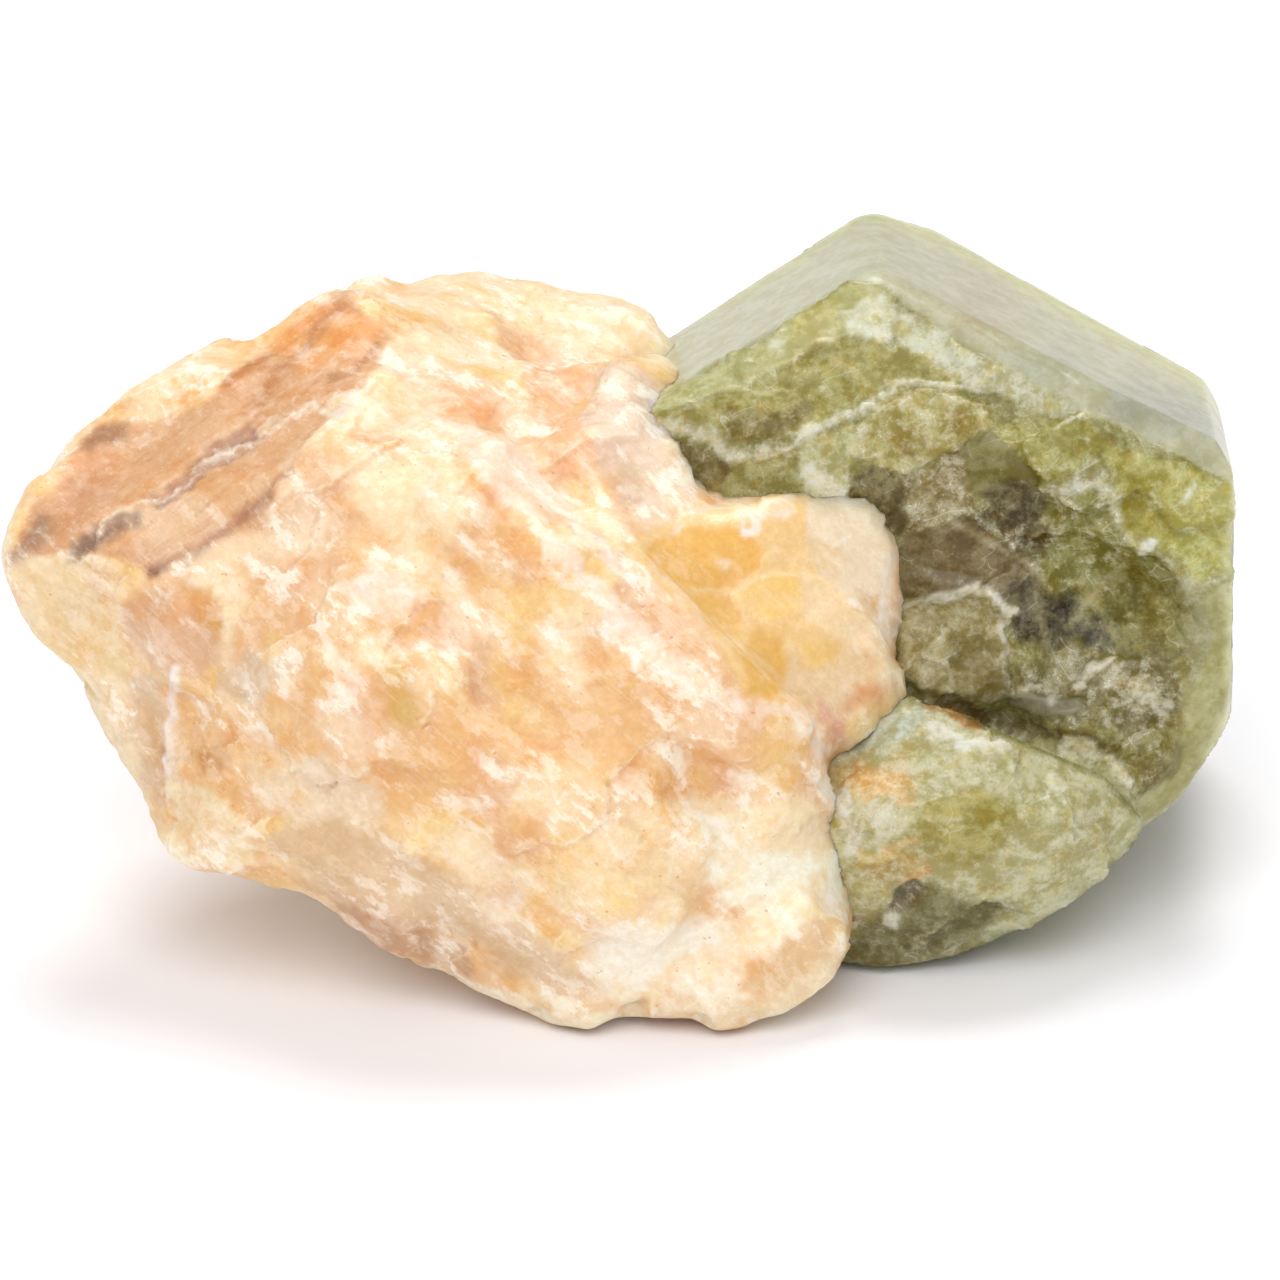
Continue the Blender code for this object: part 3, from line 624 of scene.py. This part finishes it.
garnetFinish = {
    "clouds": {"noise": (0.8, 4, 0.66)},
    "grit": {"noise": (2.8, 4, 0.78)},
    "gritPart": 0.4,
    "shades": (0.4, 0.6),
    "faceShade": 0.6,  # of the unbroken faces, which keep a part of the clouds
    "faceClouds": 0.4,
    "darkCast": (0.66, 0.60, 0.36),
    "pale": (0.80, 0.76, 0.44),
    "palePart": 0.2,
    "warmth": {"noise": (1.3, 3, 0.6), "shows": (0.5, 0.64), "cast": (1.1, 0.92, 0.5), "part": 0.55},
    "veil": {"noise": (1.6, 6, 0.82)},
    "veilShows": (0.6, 0.78),
    "veilFrost": 0.22,
    "veilPart": 0.5,
    "curl": {"noise": (0.34, 2, 0.45)},
    "curlWidth": 0.005,
    "seam": {"noise": (0.8, 2, 0.4)},
    "seamWidth": 0.008,
    "seamStretch": (0.14, 1.0, 0.6),
    "seamAngles": (58, -28),  # degrees
    "splitFrost": (0.4, 0.5),  # how clear the splits are, and what frost adds
    "splitPart": 0.85,
    "places": {"noise": (0.8, 3, 0.6), "shows": (0.5, 0.6)},  # where splits and specks gather
    # white flecks in the broken places, partly painted glints
    "flecksAndGlints": {"noise": (7, 2, 0.6), "shows": (0.62, 0.68)},
    "fleckAndGlintParts": (0.02, 0.6, 0.6),  # anywhere, in frost and in veils
    "crestShows": (0.72, 1.0),
    "crestPart": 0.3,
    "white": {"colour": (234, 230, 208), "part": 1.0},
    "roughness": {"face": 0.24, "broken": -0.15, "white": 0.3},
    "faceBump": 0.04,
    "bump": (0.3, 0.14),  # strength, and depth in millimetres
    "glass": {"IOR": 1.7, "Specular IOR Level": 0.1, "Transmission Weight": 0.22},
}


def unlessBroken(face, broken):
    # a value of the unbroken faces that grows to 1 where the crystal is broken
    return face + (1 - face) * broken


def garnetSplits(spot, look):
    # long thin splits: one curling family, and straight ones along the seams
    curl = spot.pattern(look["curl"]) - 0.5
    splits = 1 - curl.maths("ABSOLUTE").between(0.0, look["curlWidth"])
    for angle in look["seamAngles"]:
        seam = spot.grained(look["seamStretch"], angle).pattern(look["seam"]) - 0.5
        splits = splits.most(1 - seam.maths("ABSOLUTE").between(0.0, look["seamWidth"]))
    return splits


def garnetMaterial():
    look = garnetFinish
    material, spot, tint, (broken, frost, crest) = startMaterial("greenGarnet")
    # the body: darker and paler clouds with a fine grain
    gritPart = look["gritPart"]
    grains = (1 - gritPart) * spot.pattern(look["clouds"]) + gritPart * spot.pattern(look["grit"])
    clouds = (grains.between(*look["shades"]) - look["faceShade"]) * unlessBroken(look["faceClouds"], broken)
    pale = tint.mixed(look["pale"], look["palePart"])
    body = tint.cast(look["darkCast"]).mixed(pale, look["faceShade"] + clouds)
    body = body.laid(look["warmth"], spot.pattern(look["warmth"]) * broken)
    # white veils of tiny fractures, splits, specks gathered in the veils that are partly painted glints, and
    # chipped crests with a painted highlight along them
    veil = spot.pattern(look["veil"])
    veils = (veil + look["veilFrost"] * frost).between(*look["veilShows"]) * broken
    places = spot.pattern(look["places"])
    clear, frosted = look["splitFrost"]
    splits = garnetSplits(spot, look) * places * broken * (clear + frosted * frost)
    anywhere, inFrost, inVeils = look["fleckAndGlintParts"]
    specks = spot.pattern(look["flecksAndGlints"]) * (anywhere + inFrost * frost * places + inVeils * veils) * broken
    crestWearAndHighlight = crest.between(*look["crestShows"]) * look["crestPart"] * broken * places
    white = (veils * look["veilPart"]).most(splits * look["splitPart"]).most(specks)
    white = (white + crestWearAndHighlight).maths("MINIMUM", 1.0)
    rough = look["roughness"]
    values = {
        **look["glass"],
        "Base Color": body.laid(look["white"], white),
        "Roughness": rough["face"] + rough["broken"] * broken + rough["white"] * white,
        "Normal": (veil * unlessBroken(look["faceBump"], broken)).bump(*look["bump"]),
    }
    finishMaterial(spot, values)
    return material


# The calcite.
calciteLook = {
    "grain": 0.206,  # millimetres
    "softening": 7,
    "base": (238, 191, 130),
    "zones": {  # colour, and the size in millimetres, octaves and seed of its clouds
        "yellow": ((246, 208, 134), (5.5, 2, 21)),
        "pink": ((238, 195, 150), (4.0, 2, 22)),
        "cream": ((252, 230, 190), (4.6, 2, 23)),
    },
    "zoneEdge": (-0.05, 0.4),
    "brightness": 0.94,
    "traits": {"relief": 1.0, "polish": 0.0, "stain": 0.0, "lift": 0.0},
    "seed": 5,
    "skinArea": 2600,  # square millimetres
    "grainAngle": -35,  # degrees
    "steps": [
        {"size": 3.4, "tilt": 0.13, "lift": 0.03, "rag": 0.12, "most": 0.3, "part": 0.35,
         "along": (1.9, 0.8, 1)},
        {"size": 1.2, "tilt": 0.14, "lift": 0.02, "rag": 0.08, "most": 0.1, "part": 0.35,
         "along": (1.8, 0.7, 1)},
    ],
    "splinters": [(0.05, 0.5, 2, 24)],
    "splinterStretch": (0.35, 1.0, 0.7),
    "grains": [(0.025, 0.6, 3, 25)],
    "contact": (0.6, 1.5),  # millimetres from the garnet: drawn all the way to it, and not at all
    "crestHeight": 0.15,
}
calcitePatches = {
    "backTop": area((250, 222, 181), [(340, 285), (400, 252), (470, 262), (600, 280), (655, 295), (672, 330),
        (655, 362), (600, 352), (520, 330), (430, 318), (390, 300)], soft=16, relief=0.6),
    "topYellow": area((248, 210, 143), [(478, 296), (530, 296), (528, 324), (484, 322)], soft=26, rag=14),
    "topPeach": area((243, 189, 143), [(540, 340), (592, 352), (590, 402), (560, 412), (530, 380)], soft=30,
        rag=14),
    "upperPeach": area((246, 193, 149), [(392, 345), (440, 380), (520, 395), (590, 420), (600, 470),
        (540, 462), (480, 430), (410, 400)], soft=26, rag=14, strength=0.8),
    "rightCream": area((232, 202, 178), [(590, 362), (652, 372), (660, 440), (690, 490), (640, 520),
        (600, 470), (585, 430)], soft=20, rag=12),
    "rightTan": area((229, 200, 168), [(600, 462), (640, 468), (650, 500), (618, 492)], soft=20, rag=12),
    "leftYellow": area((239, 214, 167), [(15, 552), (82, 552), (116, 600), (130, 661), (120, 700), (150, 760),
        (166, 830), (110, 750), (60, 690), (25, 620)], relief=0.8),
    "leftTan": area((224, 181, 120), [(82, 560), (106, 570), (118, 600), (100, 600)], soft=14),
    "peachFacet": area((228, 186, 147), [(119, 600), (158, 586), (215, 598), (226, 650), (205, 682),
        (150, 672), (124, 640)], soft=18, relief=0.3),
    "orangeBlotch": area((222, 168, 98), [(175, 580), (205, 590), (222, 620), (218, 640), (196, 622)],
        soft=14, relief=0.3),
    "orangeDepth": area((225, 146, 55), [(275, 556), (312, 560), (318, 590), (292, 598), (272, 584)], soft=26,
        rag=12),
    "goldDepth": area((224, 188, 113), [(385, 668), (412, 668), (410, 722), (388, 724)], soft=26, rag=10),
    "spotDepth": area((210, 152, 82), [(198, 748), (228, 750), (232, 772), (200, 774)], soft=18, rag=12),
    "leftWhite": area((225, 196, 162), [(225, 665), (290, 655), (300, 680), (262, 700), (228, 690)], soft=20,
        rag=16),
    "midWhite": area((240, 218, 188), [(255, 775), (330, 765), (385, 775), (370, 830), (310, 830),
        (270, 805)], soft=20, rag=18, strength=0.85),
    "highWhite": area((251, 233, 217), [(340, 585), (400, 570), (430, 590), (400, 620), (350, 615)], soft=30,
        rag=18),
    "leftBrown": area((223, 193, 157), [(124, 680), (162, 682), (170, 805), (144, 780)], soft=10),
    "leftRidge": stroke((241, 224, 211), 9, [(178, 668), (172, 700), (168, 750), (174, 792)], soft=7, rag=6,
        lift=0.15),
    "yellowCorner": area((243, 221, 179), [(168, 770), (186, 786), (226, 800), (256, 830), (254, 870),
        (200, 858), (176, 826)], relief=0.7),
    "underside": area((224, 191, 149), [(254, 835), (330, 815), (420, 855), (480, 890), (600, 985),
        (560, 1000), (450, 938), (400, 925), (330, 895), (285, 865)], soft=20, rag=10, relief=0.25,
        polish=0.4),
    "underLedge": area((206, 164, 126), [(330, 892), (400, 908), (465, 950), (480, 978), (440, 968),
        (380, 945), (340, 912)], lift=0.15),
    "lowerYellow": area((252, 229, 182), [(500, 850), (640, 820), (700, 870), (690, 920), (640, 900),
        (560, 920)], soft=40, rag=14, strength=0.8),
    "lowerCream": area((254, 246, 228), [(590, 925), (650, 915), (760, 930), (740, 1000), (650, 1010),
        (590, 990)], soft=30, rag=16),
    "lowerWhite": area((255, 250, 230), [(712, 850), (800, 855), (842, 862), (838, 890), (790, 905),
        (720, 900)], soft=20, rag=14),
    "lowerGold": area((246, 191, 86), [(655, 806), (690, 808), (692, 836), (662, 834)], soft=22, rag=10),
    "lowerSpot": area((251, 220, 153), [(606, 884), (634, 886), (632, 908), (608, 906)], soft=24, rag=12),
    "lowerPink": area((243, 220, 194), [(484, 880), (526, 884), (522, 930), (488, 926)], soft=22, rag=14),
    "lowerShade": area((236, 192, 142), [(484, 820), (540, 816), (545, 860), (500, 872)], soft=30, rag=14),
    "rightCreamLow": area((255, 245, 219), [(740, 900), (842, 868), (838, 900), (800, 945), (740, 960)],
        soft=20, strength=0.9),
    "lowLedge": area((231, 198, 150), [(800, 922), (836, 908), (858, 925), (850, 950), (810, 980), (740, 990),
        (770, 955)], soft=10),
    "lowLedgePale": stroke((240, 218, 180), 18, [(650, 1024), (700, 1026), (760, 1004), (810, 980),
        (850, 946)], soft=12, rag=6),
    "bottomRim": stroke((250, 232, 198), 20, [(470, 985), (530, 1016), (575, 1030), (640, 1016)], soft=14),
    "lipNotchLeft": stroke(None, 14, [(534, 1014), (544, 1030)], soft=12, rag=4, lift=-0.5),
    "lipNotch": stroke(None, 20, [(634, 1012), (640, 1034)], soft=16, rag=5, lift=-0.8),
    "lipNotchRight": stroke(None, 14, [(700, 1024), (708, 1036)], soft=12, rag=4, lift=-0.5),
    "stainedFace": area((222, 171, 122), [(14, 556), (80, 549), (156, 574), (199, 548), (262, 528),
        (308, 440), (358, 396), (393, 339), (347, 296), (330, 292), (270, 340), (200, 396), (110, 418),
        (82, 445), (40, 490)], rag=5, relief=0.35, stain=1.0),
    "stainPale": area((228, 190, 150), [(130, 515), (200, 490), (270, 470), (300, 440), (290, 480),
        (220, 530), (160, 560)], soft=14, rag=10),
    "stainLeft": area((213, 159, 114), [(18, 552), (48, 500), (90, 470), (130, 480), (90, 530)], soft=20,
        rag=10),
    "orangeGlow": area((236, 167, 93), [(262, 345), (330, 300), (392, 330), (372, 350), (300, 372)], soft=20),
    "rimGlow": stroke((251, 210, 151), 20, [(40, 486), (62, 440), (88, 414), (150, 412), (196, 394),
        (266, 338), (326, 286), (385, 258)], soft=14, rag=4, stain=0.0),
    "rimSpot": stroke((195, 117, 26), 10, [(232, 384), (248, 370), (262, 366)], soft=10),
    "purpleStreak": stroke((151, 119, 98), 17, [(76, 548), (109, 536), (134, 520)], soft=14, rag=10,
        lift=-0.12),
    "purpleMiddle": stroke((167, 122, 102), 15, [(160, 500), (200, 470), (228, 448), (250, 430)], soft=16,
        rag=12, lift=-0.1),
    "purpleRise": stroke((192, 131, 81), 9, [(245, 425), (282, 375), (320, 335), (344, 303)], soft=16,
        strength=0.8),
    "lowStreak": stroke((178, 125, 92), 10, [(150, 572), (199, 550), (252, 514), (288, 480)], soft=14,
        strength=0.9),
    "lowStreakTip": stroke((153, 97, 67), 9, [(150, 573), (165, 570)], rag=4),
    "spotLeft": stroke((176, 126, 85), 14, [(92, 446), (112, 434), (122, 430)], soft=14),
    "spotTop": stroke((193, 129, 71), 7, [(330, 378), (350, 368), (374, 350)], soft=6),
    "tip": stroke((173, 137, 109), 14, [(16, 556), (30, 545), (48, 520)], soft=12),
    "fibres": stroke((233, 212, 187), 5, [(96, 538), (118, 514), (170, 494), (212, 460), (292, 414),
        (345, 402)], soft=6, rag=10, strength=0.8, stain=0.2, lift=0.06),
    "fibresHigh": stroke((232, 204, 172), 4, [(150, 492), (200, 452), (250, 416), (300, 384), (350, 352)],
        soft=6, strength=0.6, stain=0.3),
    "creamChip": area((236, 220, 201), [(320, 415), (342, 393), (361, 393), (352, 408), (336, 424)], soft=4,
        rag=4, stain=0.0),
    "creamLedge": area((252, 225, 203), [(416, 414), (450, 420), (500, 440), (530, 462), (562, 495),
        (578, 530), (520, 522), (482, 470), (452, 438)], relief=0.4, lift=0.15),
    "ledgeEdge": stroke((248, 197, 141), 12, [(444, 440), (458, 460), (482, 486), (508, 522)], soft=10,
        rag=6),
    "scratch": stroke((250, 216, 191), 4, [(412, 378), (440, 398), (480, 402)], soft=5, rag=4, strength=0.8),
    "pane": area((245, 210, 150), [(620, 546), (682, 514), (735, 503), (812, 505), (816, 575), (840, 620),
        (905, 690), (905, 705), (850, 712), (800, 700), (740, 690), (690, 620)], soft=6, rag=4, relief=0.15,
        polish=1.0),
    "paneLow": area((239, 209, 165), [(740, 690), (800, 640), (870, 640), (905, 690), (850, 712), (800, 702)],
        soft=18, rag=10, polish=0.6),
    "deepPane": area((242, 193, 103), [(641, 550), (665, 537), (682, 526), (735, 521), (768, 548), (762, 562),
        (738, 583), (720, 592), (690, 588), (662, 572)], soft=6, relief=0.1, polish=1.0, lift=-0.06),
    "paneFlake": stroke((253, 239, 234), 11, [(742, 524), (752, 530), (758, 522)], soft=6, rag=9, polish=0.3),
    "paneFlakeLeft": stroke((253, 233, 214), 6, [(674, 532), (680, 524)], soft=5, rag=6),
    "paneFlakeLow": stroke((251, 225, 192), 7, [(722, 560), (730, 565)], soft=6, rag=6),
    "paneOrange": area((240, 193, 110), [(690, 596), (735, 598), (740, 636), (706, 632)], soft=10, polish=1.0,
        relief=0.1),
    "goldFacet": area((249, 211, 134), [(730, 592), (770, 573), (800, 572), (802, 600), (790, 614),
        (768, 620), (742, 612)], soft=5, rag=3, relief=0.1, polish=1.0, lift=0.05),
    "goldPale": area((247, 221, 176), [(802, 574), (842, 590), (866, 622), (850, 640), (800, 624)], soft=12,
        rag=5, relief=0.1, polish=1.0),
    "goldDeep": area((232, 185, 99), [(758, 624), (780, 624), (788, 650), (784, 690), (766, 698), (745, 690),
        (738, 650)], soft=12, rag=6, relief=0.1, polish=1.0),
    "goldRight": area((244, 207, 134), [(798, 640), (840, 642), (838, 664), (802, 662)], soft=14, rag=6,
        relief=0.1, polish=1.0),
    "palePane": area((243, 224, 194), [(806, 504), (884, 507), (904, 545), (892, 590), (884, 640), (858, 602),
        (816, 575), (806, 540)], soft=6, rag=4, relief=0.1, polish=0.8),
    "paleWarm": area((235, 207, 159), [(806, 540), (840, 545), (842, 580), (814, 574)], soft=16, polish=0.8),
    "paleScratch": stroke((249, 239, 224), 4, [(834, 546), (848, 538)], soft=4, rag=2),
    "paleBrown": area((222, 173, 92), [(858, 594), (884, 590), (886, 625), (870, 612)], soft=12, rag=6,
        polish=0.8),
    "paneCrest": stroke((246, 222, 188), 9, [(700, 510), (735, 504), (790, 506)], soft=7, rag=4),
    "paneTop": stroke((250, 226, 204), 7, [(738, 514), (790, 515)], soft=6, rag=6),
    "rightCrest": stroke((246, 228, 208), 9, [(884, 509), (903, 545), (890, 568), (884, 596), (880, 632)],
        rag=5),
    "paneEdge": stroke((251, 225, 176), 4, [(732, 592), (770, 573), (822, 580), (866, 622), (905, 690)],
        soft=4, rag=2),
    "whiteStripe": stroke((251, 229, 208), 24, [(548, 548), (580, 572), (602, 602), (645, 640), (690, 686),
        (704, 694)], soft=10, rag=16, lift=0.1),
    "stripeHigh": stroke((244, 209, 191), 13, [(590, 542), (622, 570), (628, 590)], rag=12),
    "stripeInner": stroke((244, 216, 185), 8, [(650, 560), (680, 600), (700, 622), (716, 650)], rag=10,
        strength=0.8),
    "stripeLow": stroke((253, 236, 221), 16, [(730, 700), (780, 718), (812, 730), (826, 760)], soft=12,
        rag=16, strength=0.8),
    "stripeDark": stroke((234, 184, 130), 10, [(622, 560), (640, 600), (668, 634)], soft=10, strength=0.8),
    "spotRound": stroke((230, 177, 124), 13, [(616, 588), (624, 592)], soft=6, rag=3),
    "orangeContact": area((226, 167, 113), [(838, 716), (846, 690), (872, 680), (886, 700), (862, 708)],
        soft=14),
    "pinkContact": stroke((232, 178, 160), 13, [(822, 706), (836, 726), (838, 745), (830, 768)], soft=12,
        strength=0.9),
    "contactRim": stroke((246, 228, 208), 12, [(836, 790), (844, 820), (850, 880), (846, 905)], soft=9),
}


def calciteZones(seen):
    tint = np.tile(linear(calciteLook["base"]), (len(seen), 1))
    for colour, grain in calciteLook["zones"].values():
        mask = ease(cloud(seen, *grain), *calciteLook["zoneEdge"])
        tint += mask[:, None] * (linear(colour) - tint)
    return tint


def touchGarnet(garnet, seen):
    # draws the calcite's rim on to the garnet, so that the two have grown together
    places = [tuple(place) for place in readMesh(garnet)[0]]
    tree = BVHTree.FromPolygons(places, [tuple(face.vertices) for face in garnet.data.polygons])
    closest, farthest = calciteLook["contact"]
    moved = seen.copy()
    for index, place in enumerate(seen.tolist()):
        hit, _, _, gap = tree.find_nearest(place, farthest)
        if hit is not None:
            moved[index] += (1 - ease(gap, closest, farthest)) * (np.array(hit) - place)
    return moved


def dressCalcite(garnet):
    obj = fineCopy("calcite_matrix", "calciteSkin", calciteLook)
    seen, normals = readMesh(obj)
    pairs = pairsOf(obj)
    tint, traits = paint(seen, normals, calciteZones(seen), calcitePatches, calciteLook["traits"])
    splinters = uneven(seen * np.array(calciteLook["splinterStretch"]), calciteLook["splinters"])
    moved = (breakUp(seen, normals, calciteLook) + splinters) * traits["relief"]
    moved = moved + uneven(seen, calciteLook["grains"]) + traits["lift"]
    writeMesh(obj, touchGarnet(garnet, seen + normals * (moved * aboveTable(seen))[:, None]))
    coat(obj, pairs, calciteLook, tint, traits["stain"], traits["polish"], calciteMaterial())
    return obj


calciteFinish = {
    "flow": ((0.5, 1.0, 0.7), 42),  # stretch, and angle in degrees
    "hairFlow": ((0.5, 9.0, 4.0), 42),
    "streakFlow": ((0.4, 2.6, 1.5), -38),
    "polishClears": 0.8,
    "flakesAnywhere": 0.3,
    # the layers of colour, and how much of each a stain hides
    "depths": {"noise": (0.42, 3, 0.6), "shows": (0.5, 0.64), "cast": (0.97, 0.78, 0.52), "part": 0.65},
    "pale": {"noise": (0.45, 3, 0.58), "shows": (0.46, 0.6), "colour": (252, 238, 214), "part": 0.4,
             "stain": 0.7},
    "flakes": {"noise": (1, 5, 0.7), "shows": (0.5, 0.57), "colour": (255, 246, 232), "part": 0.75,
               "stain": 0.6},
    "hairs": {"noise": (1, 1, 0.5), "shows": (0.6, 0.75), "colour": (250, 236, 214), "part": 0.2},
    "specks": {"noise": (3.6, 1, 0.5), "shows": (0.74, 0.78), "colour": (200, 128, 72), "part": 0.45},
    # painted shade: the grain that makes the bump also darkens the colour in its own hollows
    "grit": {"noise": (2.4, 4, 0.74), "shadeInHollows": (0.62, 0.4), "cast": (0.90, 0.82, 0.72), "part": 0.6},
    "streaks": {"noise": (1, 3, 0.65), "shows": (0.48, 0.75), "colour": (186, 116, 70), "part": 0.35},
    # whitened along the crests: chipped edges, and a painted highlight along them
    "crestWearAndHighlight": {"shows": (0.75, 1.1), "colour": (254, 244, 228), "part": 0.35, "stain": 0.7},
    "roughness": {"plain": 0.42, "flakes": 0.2, "polish": -0.14, "stain": 0.1},
    "bump": (0.3, 0.14),  # strength, and depth in millimetres
    "inside": {"IOR": 1.55, "Subsurface Weight": 0.55, "Subsurface Radius": (1.0, 0.66, 0.36)},
    "scatter": 2.4,  # millimetres
}


def calciteMaterial():
    look = calciteFinish
    material, spot, tint, (stain, polish, crest) = startMaterial("orangeCalcite")
    clear = 1 - look["polishClears"] * polish
    # soft pale clouds and flakes, drawn out along the cleavage
    flow = spot.grained(*look["flow"])
    pale = flow.pattern(look["pale"])
    anywhere = look["flakesAnywhere"]
    flakes = flow.pattern(look["flakes"]) * (anywhere + (1 - anywhere) * pale) * clear
    grit = spot.pattern(look["grit"])
    masks = {
        "depths": spot.pattern(look["depths"]) * clear,
        "pale": pale * clear,
        "flakes": flakes,
        "hairs": spot.grained(*look["hairFlow"]).pattern(look["hairs"]) * clear,
        "specks": spot.pattern(look["specks"]) * clear,
        # painted shade in the hollows of the bump's grain
        "grit": grit.between(*look["grit"]["shadeInHollows"]),
        "streaks": spot.grained(*look["streakFlow"]).pattern(look["streaks"]) * stain,
        # the crests: chipped edges, and a painted highlight
        "crestWearAndHighlight": crest.between(*look["crestWearAndHighlight"]["shows"]),
    }
    body = tint
    for name, mask in masks.items():
        if "stain" in look[name]:
            mask = mask * (1 - look[name]["stain"] * stain)
        body = body.laid(look[name], mask)
    rough = look["roughness"]
    roughness = rough["plain"] + rough["flakes"] * flakes + rough["polish"] * polish + rough["stain"] * stain
    values = {
        **look["inside"],
        "Subsurface Scale": look["scatter"] * mm,
        "Base Color": body,
        "Roughness": roughness,
        "Normal": grit.bump(*look["bump"]),
    }
    finishMaterial(spot, values)
    return material


# The studio.
studio = {
    "floor": (250, 249, 253),
    "floorRoughness": 0.7,
    "floorSide": 3.0,  # metres
    "sky": 0.45,
    "lights": {
        "key": {"place": (0.05, 0.4, 0.8), "side": 0.45, "power": 3.8},
        "front": {"place": (-0.08, -0.8, 1.0), "side": 1.3, "power": 10.8},
    },
}


def buildFloor():
    bm = bmesh.new()
    bmesh.ops.create_grid(bm, x_segments=1, y_segments=1, size=studio["floorSide"] / 2)
    mesh = bpy.data.meshes.new("floor")
    bm.to_mesh(mesh)
    bm.free()
    floor = bpy.data.objects.new("floor", mesh)
    bpy.context.scene.collection.objects.link(floor)
    material = bpy.data.materials.new("paleBoard")
    material.use_nodes = True
    shader = material.node_tree.nodes["Principled BSDF"]
    shader.inputs["Base Color"].default_value = (*linear(studio["floor"]), 1)
    shader.inputs["Roughness"].default_value = studio["floorRoughness"]
    mesh.materials.append(material)


def placeLights():
    for name, light in studio["lights"].items():
        data = bpy.data.lights.new(name, "AREA")
        data.shape = "DISK"
        data.size = light["side"]
        data.energy = light["power"]
        lamp = bpy.data.objects.new(name, data)
        lamp.location = light["place"]
        lamp.rotation_euler = (-Vector(light["place"])).to_track_quat("-Z", "Y").to_euler()
        lamp.visible_camera = False
        bpy.context.scene.collection.objects.link(lamp)
    world = bpy.data.worlds.new("studio")
    world.use_nodes = True
    background = world.node_tree.nodes["Background"]
    background.inputs["Color"].default_value = (1, 1, 1, 1)
    background.inputs["Strength"].default_value = studio["sky"]
    bpy.context.scene.world = world
    bpy.context.scene.view_settings.view_transform = "Standard"


def placeCamera():
    data = bpy.data.cameras.new("camera")
    data.lens = view["lens"]
    data.sensor_width = view["sensor"]
    data.clip_start = view["nearest"]
    camera = bpy.data.objects.new("camera", data)
    camera.location = toWorld(np.array((0, 0, viewDistance)))
    camera.rotation_euler = (viewTurn, 0, 0)
    bpy.context.scene.collection.objects.link(camera)
    bpy.context.scene.camera = camera


placeCamera()
buildFloor()
placeLights()
print("camera and studio in place")

garnet = dressGarnet()
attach(garnet, "root")
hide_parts("garnet_crystals")
print("garnet dressed")

calcite = dressCalcite(garnet)
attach(calcite, "root")
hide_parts("calcite_matrix")
print("calcite dressed")
